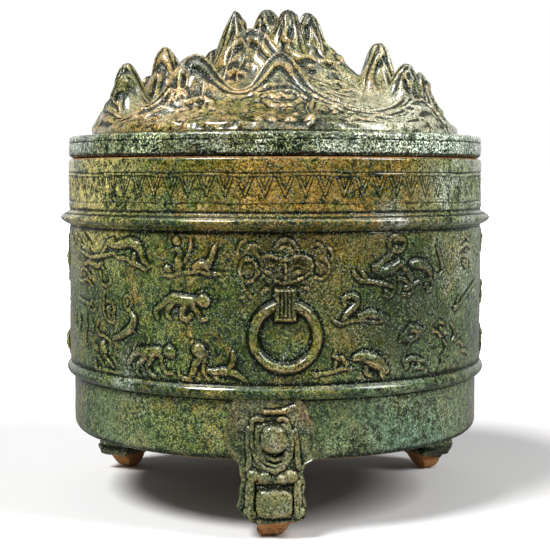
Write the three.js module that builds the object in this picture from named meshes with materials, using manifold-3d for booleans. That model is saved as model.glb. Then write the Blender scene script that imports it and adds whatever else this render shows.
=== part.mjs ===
// Hill censer: a round earthenware jar under a green lead glaze, standing on three bear feet,
// with a lid moulded as a range of mountains. Millimetres, +Z up. The origin is on the standing
// plane on the jar's axis, and the mask and the front foot face -Y.
import * as THREE from "three";
import { mergeVertices } from "three/addons/utils/BufferGeometryUtils.js";
import Module from "manifold-3d";

// Jar
const WALL_RADIUS = 97; // outside of the frieze and of the neck
const WALL_THICKNESS = 7;
const FOOT_HEIGHT = 32; // standing plane to the jar's underside
const BASE_ZONE_HEIGHT = 26.7; // underside to the lower band
const BASE_INSET = 1.9; // the base zone is this much slimmer than the frieze
const BOTTOM_CORNER = 5; // radius of the rounded lower edge
const LOWER_BAND_WIDTH = 5;
const LOWER_BAND_RELIEF = 1.6;
const FRIEZE_HEIGHT = 64; // clear height between the two bands
const UPPER_BAND_WIDTH = 6;
const UPPER_BAND_RELIEF = 3.9;
const NECK_HEIGHT = 23.7; // upper band to the lip
const LIP_ROUNDING = 1.5;
const FLOOR_THICKNESS = 8;

// Relief
const FRIEZE_COLUMNS = 360; // the frieze is drawn on squares: this many round the wall
const FRIEZE_ROWS = 38; // and this many between the bands
const FIGURE_RISE = 1.1; // how far a figure stands out for each square of its half width
const HANDLE_RISE = 1.6; // the same for the masks and their rings
const RELIEF_REACH = 8; // more squares than any relief stands out
const MASK_TURN = 2.5; // degrees from the front foot to the front mask
const MASK_ROW = 29.5; // height of the mask's eyes, in squares
const STRAP_HALF_WIDTH = 2.7; // the strap below the mask, in squares
const STRAP_TOP = -3; // rows from the eyes
const STRAP_BOTTOM = -13.3;
const STRAP_DEPTH = 1.9;
const RING_ROW = 12.4; // centre of the ring, in squares
const RING_RADIUS = 7.75; // middle of the ring's section, in squares
const RING_SECTION = 1.1; // half thickness of the ring, in squares

// Feet
const FOOT_TIP_WIDTH = 6;
const FOOT_TIP_DEPTH = 11;
const FOOT_DEPTH = 20; // radial depth of the leg under the jar
const FOOT_WIDTH = 28;
const FOOT_PLATE_WIDTH = 44; // the plate flares to this at the jar's lower edge
const FOOT_PLATE_RISE = 27; // the plate climbs this far up the base zone
const FOOT_STANDOFF = 1.5; // thickness of the plate on the base zone
const FOOT_TURNS = { front: 0, rear_right: 120, rear_left: 240 }; // degrees round the jar from the front

// Lid
const LID_RADIUS = 96.7;
const FLANGE_THICKNESS = 10;
const FLANGE_BORE = 78;
const FLANGE_ROUNDING = 2;
const LOCATING_DEPTH = 7.5; // how far the locating ring drops into the mouth
const LOCATING_THICKNESS = 7;
const LOCATING_CLEARANCE = 1;
const HILL_RADIUS = 86; // toe of the mountains on the flange
const HILL_EDGE = 1; // thickness at that toe
const HILL_HEIGHT = 38; // the cone that the ridges stand on
const HILL_SHELL = 4; // wall between that cone's top and the hollow beneath
const HOLLOW_MARGIN = 12.9; // seat of the mountains on the flange, from the toe in to the hollow
const TOE_SLOPE = 2.3; // steepest rise from the toe
const RIDGE_STEEPNESS = 1.75; // how sharply a ridge falls off round its slope's width
const PEAK_HEIGHT = 60; // highest peak above the flange
const BACK_RIDGE_SHARE = 0.9; // height of the ridges behind, to those in front
const BEAST_SIZE = 7; // half length of an animal on the mountainside
// Places of the animals: degrees from the front, anticlockwise from above, and mm in from the toe
const BEASTS = { front: [5.5, 24], left: [-34.5, 17] };

// Fits and mesh steps
const SEAT_GAP = 0.3; // between luted or resting faces
const ROUND_STEPS = 48;
const HILL_RINGS = 22;
const HILL_STEPS = 96;
const CREST_STEPS = 6; // points on each span of a ridge's crest
const LIMB_SIDES = 4;
const BALL_SIDES = 6;
const BALL_RINGS = 5;
const MERGE_DISTANCE = 1e-4;

// Levels and radii that follow from the sizes above
const jarBottom = FOOT_HEIGHT;
const lowerBand = jarBottom + BASE_ZONE_HEIGHT;
const friezeBottom = lowerBand + LOWER_BAND_WIDTH;
const upperBand = friezeBottom + FRIEZE_HEIGHT;
const neckBottom = upperBand + UPPER_BAND_WIDTH;
const lipHeight = neckBottom + NECK_HEIGHT;
const baseRadius = WALL_RADIUS - BASE_INSET;
const boreRadius = WALL_RADIUS - WALL_THICKNESS;
const cornerRadius = Math.min(BOTTOM_CORNER, baseRadius - boreRadius);
const flangeBottom = lipHeight + SEAT_GAP;
const flangeTop = flangeBottom + FLANGE_THICKNESS;
const hillSeat = flangeTop + SEAT_GAP;
const locatingRadius = boreRadius - LOCATING_CLEARANCE;
const rowHeight = FRIEZE_HEIGHT / FRIEZE_ROWS;
const columnAngle = (2 * Math.PI) / FRIEZE_COLUMNS;

// Frieze figures, as strokes through [column from the front, row above the lower band, half width]
const FIGURES = {
  leaping_beast: [
    [[-24.5, 30, 2], [-18, 30, 2.2], [-16.5, 29.5, 1.6]],
    [[-24.5, 30.5, 1.4], [-24, 35, 1.4], [-26.5, 35, 0.8]],
    [[-16, 30.5, 0.8], [-14.5, 33, 0.6], [-15.5, 34.5, 0.5]],
    [[-25.5, 29, 1], [-29, 27.5, 0.8]],
    [[-17, 28.5, 1], [-14.5, 27, 0.8], [-11, 27, 0.6]],
    [[-21.5, 28.5, 0.8], [-22, 26.5, 0.8]],
  ],
  bear: [
    [[-25.5, 20.5, 2], [-21, 20.3, 2], [-17.5, 21, 1.6], [-15.5, 20.5, 0.8]],
    [[-26.5, 20, 1.2], [-29.5, 17, 1], [-31.5, 16.5, 0.8]],
    [[-25.5, 19, 1], [-27, 16, 0.8]],
    [[-22, 18.5, 1], [-22.5, 16, 0.8]],
    [[-20, 19, 1], [-17.5, 15.5, 0.8]],
  ],
  arched_beast: [
    [[-46, 34.7, 1.4], [-45.5, 33, 1.2], [-42, 33.5, 1.4], [-38, 33, 2], [-34.5, 31.5, 1.6],
      [-32.5, 29, 1]],
    [[-42.5, 32.5, 1], [-47.5, 30.5, 0.8], [-51.5, 30.5, 0.6]],
    [[-35.5, 30.5, 1], [-34.5, 28, 0.8]],
    [[-39.5, 31.5, 1], [-40, 28.5, 0.8]],
  ],
  small_beast: [
    [[-58, 26.5, 1.4], [-50.5, 26, 1.6], [-46.5, 27.3, 1]],
    [[-56.5, 25.5, 0.8], [-60, 22.5, 0.8]],
    [[-50.5, 25, 0.8], [-48.7, 23.2, 0.8]],
    [[-59, 27, 0.8], [-64.5, 28.5, 0.5]],
  ],
  spread_wings: [
    [[-69.5, 32.5, 0.8], [-61.5, 35, 1], [-55.5, 35.5, 0.8]],
    [[-62, 34.5, 0.8], [-60.5, 32.2, 0.8], [-56.5, 32.6, 0.7]],
  ],
  crouching_beast: [
    [[-64, 15.5, 0.8], [-60.5, 18.5, 1.2], [-55.5, 16.5, 1.2], [-55, 19.5, 1]],
  ],
  standing_figure: [
    [[-47.5, 20.3, 1.2], [-47.5, 18.5, 1.2], [-48.5, 15.5, 1], [-46, 14.6, 0.7]],
    [[-47, 18.5, 0.8], [-44, 20, 0.6]],
  ],
  small_bird: [
    [[-37.7, 19, 0.5], [-40, 20, 1], [-40.5, 17, 0.8]],
  ],
  curved_hill: [
    [[-37, 15, 1], [-39, 13, 1.2], [-44.5, 10, 1]],
  ],
  wolf: [
    [[-53.5, 8, 1.2], [-51, 6.5, 1.2], [-48, 5, 1.6], [-44, 3, 1]],
    [[-49.5, 4.5, 0.8], [-53, 1.3, 0.8]],
    [[-46, 4, 0.8], [-46, 1.3, 0.8]],
  ],
  walking_beast: [
    [[-40.5, 7.5, 0.6], [-36, 7.5, 1.6], [-30, 7.5, 1.8], [-26.5, 8, 1.4], [-24.5, 7.5, 0.8]],
    [[-37, 6.5, 1], [-39.5, 3.5, 0.8]],
    [[-35, 6, 1], [-36.5, 1.5, 0.8]],
    [[-31, 6, 1], [-31, 2.5, 0.8]],
    [[-28.5, 6.5, 1], [-27, 2.8, 0.8]],
  ],
  upright_figure: [
    [[-19, 8.5, 2], [-19.5, 6.5, 1.4], [-20.5, 3, 1.2], [-23.3, 2.2, 0.8], [-24.3, 3.8, 0.6]],
    [[-18.5, 6.8, 0.8], [-16.3, 6.2, 0.7]],
  ],
  snake: [
    [[-15.5, 3.3, 0.8], [-13, 2, 1], [-9.5, 1.7, 1.2], [-6.5, 1.5, 0.8]],
    [[-9.5, 2.2, 1], [-10, 6.8, 1], [-12.2, 6.5, 0.6]],
  ],
  crane: [
    [[16.6, 20.6, 0.6], [18.5, 21, 1], [18, 17.5, 1], [24.5, 16.7, 2], [27.5, 16.2, 1.2], [30.3, 15.5, 0.8]],
    [[18.5, 16.8, 0.8], [15, 15.5, 0.8]],
    [[24.5, 15.5, 0.8], [24, 13.5, 0.8]],
  ],
  boar: [
    [[9.7, 3, 0.6], [13, 3.5, 0.8], [16.5, 4.7, 1.2], [20.5, 6, 1.6], [24, 6.5, 2.2], [27.5, 4, 1.6],
      [28, 1.7, 1]],
    [[17, 5.5, 0.8], [15.5, 7.7, 1]],
    [[20, 4.7, 0.8], [19.5, 1.5, 0.8]],
    [[24.5, 4.7, 0.8], [24, 1.5, 0.8]],
  ],
  owl: [
    [[33.2, 13.3, 1], [36.5, 12, 1.6], [40.5, 9.5, 1]],
    [[37, 12.3, 1], [38.5, 14.3, 1]],
  ],
  hare: [
    [[34.7, 2.7, 0.8], [35.5, 5.3, 1], [38, 4, 1.4], [42.3, 2, 1]],
  ],
  climber: [
    [[52.5, 12.5, 1.2], [51.5, 10.5, 1.2], [50, 6.5, 1.4], [46.3, 2.7, 0.8]],
    [[52, 10, 0.8], [57.5, 11, 0.6]],
    [[50.7, 6.3, 1], [55.5, 2.7, 0.8]],
    [[51, 10, 0.8], [45.7, 8.7, 0.6]],
  ],
  dragon: [
    [[27.5, 33.5, 1], [31.5, 34, 2], [32, 29, 2], [38, 28, 2.2], [42.5, 26.2, 1.4], [46, 27.5, 1],
      [48, 31, 0.8], [46.5, 34.5, 0.8]],
    [[31, 28.7, 1.4], [25, 26.5, 1], [20, 28, 0.8]],
    [[30.5, 27.7, 1], [29, 22.3, 0.8]],
    [[35, 27, 1], [35, 22.3, 0.8]],
    [[40.5, 26.3, 1], [43, 22.7, 0.8]],
  ],
  stretched_beast: [
    [[60.5, 32, 1.2], [62.5, 28.5, 1.4], [65, 24, 1.2], [60.5, 20.5, 1], [55.3, 17, 0.8]],
  ],
};
// Figures used once more at each side, turned there by this many degrees
const SIDE_FIGURES = [
  ["right_arched_beast", "arched_beast", 130],
  ["right_bear", "bear", 112],
  ["right_walking_beast", "walking_beast", 120],
  ["left_dragon", "dragon", -126],
  ["left_crane", "crane", -116],
  ["left_boar", "boar", -112],
];

// One half of the mask, as strokes through [column, row from the eyes, half width]
const MASK_MIDDLE = [
  [[0, -2.6, 2], [0, 2, 2.4], [0, 4.9, 1.2]],
];
const MASK_SIDE = [
  [[0.8, 1.2, 2.6], [3.1, 0.8, 2.6]],
  [[3.4, -0.3, 1.4], [7.2, -0.8, 1.7]],
  [[3, 2.4, 1.3], [5.6, 4.2, 1], [8, 4.6, 1.2]],
  [[2.2, -1.6, 1.4], [4.3, -4.9, 1.2]],
];

// The mountains, drawn for a toe of PLAN_RADIUS and a highest peak of PLAN_PEAK. Each ridge has the
// widths of its slopes outside and inside the crest, and crest points [x, y, height above the
// flange]; each is repeated behind, turned by half a turn
const PLAN_RADIUS = 86;
const PLAN_PEAK = 60;
const RIDGES = {
  front_wave: {
    outer: 9.5,
    inner: 9,
    crest: [
      [-66, -38, 7], [-60, -43, 9], [-55, -47, 12], [-50, -48, 17], [-45, -46.5, 25], [-40, -44, 32],
      [-34.5, -43, 34.8], [-29, -44, 31.5], [-24, -45.5, 24.5], [-19.5, -46.5, 19.5], [-15, -46.5, 18],
      [-11, -45.5, 20.5], [-6.5, -43, 27], [-2.5, -41, 33], [2, -40, 36], [6.5, -41, 33.5],
      [11, -44, 27], [17, -49, 19.5], [24, -54, 14], [31, -57, 10.5], [38, -57, 9], [45, -53, 9.5],
      [52, -47, 13], [58, -38, 18],
    ],
  },
  second_wave: {
    outer: 8,
    inner: 9,
    crest: [
      [-27.5, -31, 27], [-24.5, -29, 34], [-20.5, -26, 41], [-15.5, -23, 46.5], [-10.5, -21, 48.5],
      [-5.5, -22.5, 46.5], [-1, -26, 41], [3.5, -30, 35], [9, -33, 30],
    ],
  },
  summit_fold: {
    outer: 6,
    inner: 8,
    crest: [[5, -16, 47], [7.5, -20, 42], [12, -24, 37.5], [18, -26, 34], [24, -27, 30], [31, -26, 25]],
  },
  right_fold: {
    outer: 8,
    inner: 8,
    crest: [[16, -3, 52], [22, -4, 45.5], [28, -6, 39], [34, -8, 33], [40, -10, 28]],
  },
  right_inner_fold: {
    outer: 6,
    inner: 8,
    crest: [[16, -10, 45], [22, -14, 38], [28, -17, 32], [35, -20, 26]],
  },
  right_low_fold: {
    outer: 6,
    inner: 8,
    crest: [[12, -34, 25], [20, -36, 22], [28, -38, 18], [36, -38, 14]],
  },
  left_spur: {
    outer: 8,
    inner: 9,
    crest: [[-79, -10, 10], [-76, -22, 12], [-71, -34, 9], [-64, -42, 5]],
  },
  left_inner_spur: {
    outer: 8,
    inner: 8,
    crest: [[-56, -30, 14], [-50, -34, 18], [-44, -36, 24]],
  },
  right_spur: {
    outer: 8,
    inner: 9,
    crest: [[48, -60, 5], [56, -52, 9], [62, -42, 15], [68, -30, 14], [74, -18, 10]],
  },
};
// Single peaks: x, y, height, half width, steepness, and whether one more stands opposite, behind
const PEAKS = [
  [-69, -8, 34.5, 9, 2.1, true],
  [-75, -13, 18, 8.5, 2, true],
  [-52.5, 12, 43.5, 10, 2.3, false],
  [-42, 8, 37, 8.5, 2, false],
  [-18.7, -4, 59, 9.5, 1.7, false],
  [-3.6, 2, 60, 9.5, 2.3, false],
  [6.5, -9, 58.5, 9.5, 2.3, false],
  [15.6, -2, 58, 8.8, 2.3, false],
  [47.7, -12, 43.2, 8.6, 2.6, false],
  [60, -20, 33.2, 9, 2.1, true],
  [69, -16, 20, 9, 2, true],
  [-28, 2, 42, 10, 2, false],
  [-40, -18, 30, 9, 2, true],
  [-2, -12, 44, 12, 2, false],
];

const wasm = await Module();
wasm.setup();

// A closed geometry as a solid
function toSolid(geometry) {
  const bare = geometry.clone();
  bare.deleteAttribute("normal");
  bare.deleteAttribute("uv");
  const merged = mergeVertices(bare, MERGE_DISTANCE);
  return new wasm.Manifold(
    new wasm.Mesh({
      numProp: 3,
      vertProperties: merged.attributes.position.array,
      triVerts: new Uint32Array(merged.index.array),
    }),
  );
}

// A solid as a geometry for a mesh
function toGeometry(solid) {
  const { vertProperties, triVerts } = solid.getMesh();
  const geometry = new THREE.BufferGeometry();
  geometry.setAttribute("position", new THREE.BufferAttribute(vertProperties, 3));
  geometry.setIndex(new THREE.BufferAttribute(triVerts, 1));
  geometry.computeVertexNormals();
  return geometry;
}

function joinAll(geometries) {
  return geometries.map(toSolid).reduce((whole, piece) => whole.add(piece));
}

// Turns an outline of [radius, height] points, drawn anticlockwise, about the Z axis
function turned(outline, steps = ROUND_STEPS) {
  const points = outline.map(([radius, height]) => new THREE.Vector2(radius, height));
  return new THREE.LatheGeometry(points, steps).rotateX(Math.PI / 2);
}

// Points of an arc from one angle to another, in degrees, without its first point
function arc(centreX, centreY, radius, fromDegrees, toDegrees, steps) {
  return Array.from({ length: steps }, (_, i) => {
    const degrees = fromDegrees + ((toDegrees - fromDegrees) * (i + 1)) / steps;
    const angle = THREE.MathUtils.degToRad(degrees);
    return [centreX + radius * Math.cos(angle), centreY + radius * Math.sin(angle)];
  });
}

// Points up a raised band with a half-round section
function bandOutline(radius, bottom, width, relief) {
  const steps = 4;
  return Array.from({ length: steps + 1 }, (_, i) => {
    const share = i / steps;
    return [radius + relief * Math.sin(Math.PI * share), bottom + width * share];
  });
}

// The jar's outside from its underside to its lip, grown by a gap
function jarOutside(gap) {
  const cornerX = baseRadius - cornerRadius;
  const cornerY = jarBottom + cornerRadius;
  return [
    [cornerX, jarBottom - gap],
    ...arc(cornerX, cornerY, cornerRadius + gap, -90, 0, 3),
    [baseRadius + gap, lowerBand - gap],
    ...bandOutline(WALL_RADIUS + gap, lowerBand, LOWER_BAND_WIDTH, LOWER_BAND_RELIEF),
    ...bandOutline(WALL_RADIUS + gap, upperBand, UPPER_BAND_WIDTH, UPPER_BAND_RELIEF),
    [WALL_RADIUS + gap, lipHeight - LIP_ROUNDING],
  ];
}

function jarSpace(gap) {
  const lip = [[WALL_RADIUS + gap, lipHeight], [0, lipHeight]];
  return toSolid(turned([[0, jarBottom - gap], ...jarOutside(gap), ...lip]));
}
const seatSpace = jarSpace(SEAT_GAP);
const bendSpace = jarSpace(SEAT_GAP / 3);

function jarWall() {
  return turned([
    ...jarOutside(0),
    [WALL_RADIUS - LIP_ROUNDING, lipHeight],
    [boreRadius, lipHeight],
    [boreRadius, jarBottom],
    [baseRadius - cornerRadius, jarBottom],
  ]);
}

function jarFloor() {
  const radius = boreRadius - SEAT_GAP;
  const top = jarBottom + FLOOR_THICKNESS;
  return turned([[0, jarBottom], [radius, jarBottom], [radius, top], [0, top]]);
}

// A tapered limb with pointed round ends, in the flat layout: X columns, -Y outwards, Z rows
function limb([startX, startZ, startRadius], [endX, endZ, endRadius]) {
  const way = new THREE.Vector3(endX - startX, 0, endZ - startZ);
  const length = way.length();
  const profile = [
    new THREE.Vector2(0, -startRadius),
    new THREE.Vector2(startRadius, 0),
    new THREE.Vector2(endRadius, length),
    new THREE.Vector2(0, length + endRadius),
  ];
  const turn = new THREE.Quaternion().setFromUnitVectors(new THREE.Vector3(0, 1, 0), way.normalize());
  return new THREE.LatheGeometry(profile, LIMB_SIDES).applyQuaternion(turn).translate(startX, 0, startZ);
}

function limbs(strokes) {
  return strokes.flatMap((stroke) => stroke.slice(1).map((point, i) => limb(stroke[i], point)));
}

// Cuts away what lies in the wall or a band, bends the flat layout onto the wall, and cuts
// again where a long flat face would reach into the curve
function onWall(flatSolid, rise, turn, row = 0) {
  const gap = SEAT_GAP / rise;
  const edge = SEAT_GAP / rowHeight;
  const clear = new THREE.BoxGeometry(FRIEZE_COLUMNS, RELIEF_REACH - gap, FRIEZE_ROWS - 2 * edge);
  clear.translate(0, -(RELIEF_REACH + gap) / 2, FRIEZE_ROWS / 2 - row);
  const geometry = toGeometry(flatSolid.intersect(toSolid(clear)));
  const position = geometry.attributes.position;
  for (let i = 0; i < position.count; i += 1) {
    const angle = position.getX(i) * columnAngle + THREE.MathUtils.degToRad(turn);
    const radius = WALL_RADIUS - position.getY(i) * rise;
    const height = friezeBottom + (position.getZ(i) + row) * rowHeight;
    position.setXYZ(i, radius * Math.sin(angle), -radius * Math.cos(angle), height);
  }
  return toSolid(geometry).subtract(bendSpace);
}

function figure(name, turn) {
  return onWall(joinAll(limbs(FIGURES[name])), FIGURE_RISE, turn);
}

function strap(clearance) {
  const width = 2 * (STRAP_HALF_WIDTH + clearance);
  const height = STRAP_TOP - STRAP_BOTTOM + clearance;
  const depth = 2 * (STRAP_DEPTH + clearance);
  const middle = (STRAP_TOP + STRAP_BOTTOM - clearance) / 2;
  return new THREE.BoxGeometry(width, depth, height).translate(0, 0, middle);
}

function mask(turn) {
  const otherSide = MASK_SIDE.map((stroke) => stroke.map(([x, z, radius]) => [-x, z, radius]));
  const flat = joinAll([...limbs([...MASK_MIDDLE, ...MASK_SIDE, ...otherSide]), strap(0)]);
  return onWall(flat, HANDLE_RISE, turn, MASK_ROW);
}

// The ring hangs in relief and is broken where the strap holds it
function ring(turn) {
  const across = new THREE.TorusGeometry(RING_RADIUS, RING_SECTION, 6, 20).rotateX(Math.PI / 2);
  const seat = strap(SEAT_GAP / rowHeight).translate(0, 0, MASK_ROW - RING_ROW);
  return onWall(toSolid(across).subtract(toSolid(seat)), HANDLE_RISE, turn, RING_ROW);
}

function ball(x, y, z, halfWidth, halfDepth, halfHeight) {
  const round = new THREE.SphereGeometry(1, BALL_SIDES, BALL_RINGS);
  return round.scale(halfWidth, halfDepth, halfHeight).translate(x, y, z);
}

// An outline of [x, z] points given a depth along Y
function slab(outline, fromY, toY) {
  const shape = new THREE.Shape(outline.map(([x, z]) => new THREE.Vector2(x, z)));
  const settings = { depth: toY - fromY, bevelEnabled: false };
  return new THREE.ExtrudeGeometry(shape, settings).rotateX(Math.PI / 2).translate(0, toY, 0);
}

// The leg and its plate: a front outline met by a side outline, so that both taper to the tip
function footCore() {
  const tip = FOOT_TIP_WIDTH / 2;
  const leg = FOOT_WIDTH / 2;
  const flare = FOOT_PLATE_WIDTH / 2;
  const plateTop = jarBottom + FOOT_PLATE_RISE;
  const right = [
    [tip, 0],
    [0.4 * leg, 0.2 * FOOT_HEIGHT],
    [leg, 0.3 * FOOT_HEIGHT],
    [leg, 0.85 * FOOT_HEIGHT],
    [flare, jarBottom + SEAT_GAP],
    [0.75 * flare, jarBottom + 0.45 * FOOT_PLATE_RISE],
    [0.55 * flare, plateTop - SEAT_GAP],
  ];
  const front = [...right, ...right.map(([x, z]) => [-x, z]).reverse()];
  const outer = baseRadius + FOOT_STANDOFF;
  const middle = outer - FOOT_DEPTH / 2;
  const side = [
    [middle - FOOT_TIP_DEPTH / 2, 0],
    [middle + FOOT_TIP_DEPTH / 2, 0],
    [outer, 0.4 * FOOT_HEIGHT],
    [outer, plateTop],
    [outer - FOOT_DEPTH, plateTop],
    [outer - FOOT_DEPTH, 0.4 * FOOT_HEIGHT],
  ];
  const frontSlab = toSolid(slab(front, -outer - 1, -outer + FOOT_DEPTH + 1));
  const sideSlab = toSolid(slab(side, -flare - 1, flare + 1).rotateZ(-Math.PI / 2));
  return frontSlab.intersect(sideSlab);
}

// The bear's parts. Each is placed by its share of the half width across, its distance out from
// the base zone and its share of the foot's height, and sized by shares of the half width
function bearBody() {
  const leg = FOOT_WIDTH / 2;
  const height = jarBottom + FOOT_PLATE_RISE;
  const part = (across, out, up, ...halves) =>
    ball(across * leg, -(baseRadius + out), up * height, ...halves.map((half) => half * leg));
  const head = part(0, 0.2, 0.73, 0.55, 0.53, 0.57);
  const muzzle = part(0, 4, 0.65, 0.3, 0.26, 0.24);
  const ruff = part(0, -1, 0.58, 0.8, 0.46, 0.5);
  const belly = part(0, -0.3, 0.34, 0.62, 0.51, 0.9);
  const pairs = [-1, 1].flatMap((side) => [
    part(0.45 * side, 2.4, 0.84, 0.21, 0.19, 0.21), // ear
    part(0.72 * side, 0, 0.42, 0.26, 0.36, 0.86), // arm
    part(0.36 * side, 3.6, 0.46, 0.21, 0.21, 0.21), // paw
    part(0.72 * side, 0, 0.17, 0.29, 0.39, 0.26), // hind paw
  ]);
  return joinAll([head, muzzle, ruff, belly, ...pairs]);
}

function foot(turn) {
  const front = footCore().add(bearBody());
  const geometry = toGeometry(front).rotateZ(THREE.MathUtils.degToRad(turn));
  return toSolid(geometry).subtract(seatSpace);
}

function lidFlange() {
  const bottom = lipHeight - LOCATING_DEPTH;
  const rounding = FLANGE_ROUNDING;
  const outer = LID_RADIUS - rounding;
  return turned([
    [locatingRadius - LOCATING_THICKNESS, bottom],
    [locatingRadius, bottom],
    [locatingRadius, flangeBottom],
    [outer, flangeBottom],
    ...arc(outer, flangeBottom + rounding, rounding, -90, 0, 2),
    [LID_RADIUS, flangeTop - rounding],
    ...arc(outer, flangeTop - rounding, rounding, 0, 90, 2),
    [FLANGE_BORE, flangeTop],
    [FLANGE_BORE, flangeBottom],
    [locatingRadius - LOCATING_THICKNESS, bottom],
  ]);
}

function coneHeight(radius) {
  return Math.max(HILL_EDGE, HILL_HEIGHT * (1 - radius / HILL_RADIUS));
}

// A drawn crest as a smooth line at the lid's real size; spread is negative for one behind
function placedCrest(crest, spread, lift) {
  const points = crest.map(([x, y, height]) => new THREE.Vector3(spread * x, spread * y, lift * height));
  return new THREE.CatmullRomCurve3(points, false, "catmullrom", 0.5).getPoints(CREST_STEPS * points.length);
}
const spread = HILL_RADIUS / PLAN_RADIUS;
const lift = PEAK_HEIGHT / PLAN_PEAK;
const sides = [[spread, lift], [-spread, BACK_RIDGE_SHARE * lift]];
const placedRidges = Object.values(RIDGES).flatMap(({ outer, inner, crest }) =>
  sides.map(([across, up]) => ({ outer, inner, crest: placedCrest(crest, across, up) })),
);
const placedPeaks = PEAKS.flatMap(([x, y, height, ...slope]) => {
  const [width, steepness, twice] = slope;
  const placed = sides.slice(0, twice ? 2 : 1);
  return placed.map(([across, up]) => [across * x, across * y, up * height, width, steepness]);
});

// The ground raised towards a height by a bell of the distance from it
function bell(ground, height, away, width, steepness) {
  return ground + Math.max(0, height - ground) * Math.exp(-((away / width) ** steepness));
}

function ridgeHeight({ outer, inner, crest }, x, y, ground) {
  const away = (point) => Math.hypot(point.x - x, point.y - y);
  const nearest = crest.reduce((best, point) => (away(point) < away(best) ? point : best));
  const width = Math.hypot(x, y) > Math.hypot(nearest.x, nearest.y) ? outer : inner;
  return bell(ground, nearest.z, away(nearest), width, RIDGE_STEEPNESS);
}

// The highest of the cone, the ridges and the peaks, held low near the toe
function hillHeight(x, y) {
  const radius = Math.hypot(x, y);
  const ground = coneHeight(radius);
  const ridges = placedRidges.map((ridge) => ridgeHeight(ridge, x, y, ground));
  const peaks = placedPeaks.map(([peakX, peakY, height, width, steepness]) =>
    bell(ground, height, Math.hypot(x - peakX, y - peakY), width, steepness),
  );
  const room = HILL_EDGE + TOE_SLOPE * (HILL_RADIUS - radius);
  return Math.min(room, Math.max(ground, ...ridges, ...peaks));
}

// A turned shell whose outside is then raised into ridges and peaks
function lidHills() {
  const under = [[0, HILL_HEIGHT - HILL_SHELL], [HILL_RADIUS - HOLLOW_MARGIN, 0], [HILL_RADIUS, 0]];
  const rings = Array.from({ length: HILL_RINGS + 1 }, (_, i) => {
    const radius = HILL_RADIUS * (1 - i / HILL_RINGS);
    return [radius, coneHeight(radius)];
  });
  const outline = [...under, ...rings];
  const geometry = turned(outline, HILL_STEPS);
  const position = geometry.attributes.position;
  for (let i = 0; i < position.count; i += 1) {
    if (i % outline.length >= under.length) {
      position.setZ(i, hillHeight(position.getX(i), position.getY(i)));
    }
  }
  return toSolid(geometry.translate(0, 0, hillSeat));
}

// An animal on the mountainside, a body and a head, cut where the ground is
function lidBeast(hills, turn, inset) {
  const size = BEAST_SIZE;
  const body = [
    ball(0, 0, 0, size, 0.6 * size, 0.55 * size),
    ball(0.8 * size, -0.2 * size, 0.35 * size, 0.45 * size, 0.4 * size, 0.45 * size),
  ];
  const distance = HILL_RADIUS - inset;
  const angle = THREE.MathUtils.degToRad(turn);
  const ground = hillHeight(distance * Math.sin(angle), -distance * Math.cos(angle));
  const placed = toGeometry(joinAll(body)).translate(0, -distance, hillSeat + ground).rotateZ(angle);
  const cleared = hills.add(hills.translate(0, 0, SEAT_GAP)).add(hills.translate(0, -SEAT_GAP, 0));
  return toSolid(placed).subtract(cleared);
}

const GLAZE = { color: 0x5c6a2c, roughness: 0.28, metalness: 0 };
const DARK_GLAZE = { color: 0x3b4a22, roughness: 0.3, metalness: 0 };
const AMBER_GLAZE = { color: 0x8a6a34, roughness: 0.32, metalness: 0 };
const LID_GLAZE = { color: 0x86805a, roughness: 0.38, metalness: 0 };
const BARE_CLAY = { color: 0xa4603c, roughness: 0.9, metalness: 0 };

const censer = new THREE.Group();
const jar = new THREE.Group();
const lid = new THREE.Group();
censer.add(jar, lid);

function addPiece(group, name, shape, finish) {
  const geometry = shape.isBufferGeometry ? shape : toGeometry(shape);
  const mesh = new THREE.Mesh(geometry, new THREE.MeshStandardMaterial(finish));
  mesh.name = name;
  group.add(mesh);
}

addPiece(jar, "jar_wall", jarWall(), GLAZE);
addPiece(jar, "jar_floor", jarFloor(), BARE_CLAY);
for (const [place, turn] of Object.entries(FOOT_TURNS)) {
  addPiece(jar, `foot_${place}`, foot(turn), DARK_GLAZE);
}
for (const [side, turn] of [["front", MASK_TURN], ["back", MASK_TURN + 180]]) {
  addPiece(jar, `mask_${side}`, mask(turn), AMBER_GLAZE);
  addPiece(jar, `ring_${side}`, ring(turn), GLAZE);
}
for (const name of Object.keys(FIGURES)) {
  addPiece(jar, `front_${name}`, figure(name, 0), AMBER_GLAZE);
  addPiece(jar, `back_${name}`, figure(name, 180), AMBER_GLAZE);
}
for (const [name, design, turn] of SIDE_FIGURES) {
  addPiece(jar, name, figure(design, turn), AMBER_GLAZE);
}
const hills = lidHills();
addPiece(lid, "lid_flange", lidFlange(), LID_GLAZE);
addPiece(lid, "lid_hills", hills, LID_GLAZE);
for (const [place, [turn, inset]] of Object.entries(BEASTS)) {
  addPiece(lid, `lid_beast_${place}`, lidBeast(hills, turn, inset), LID_GLAZE);
}

export default censer;
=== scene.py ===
import math

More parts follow.
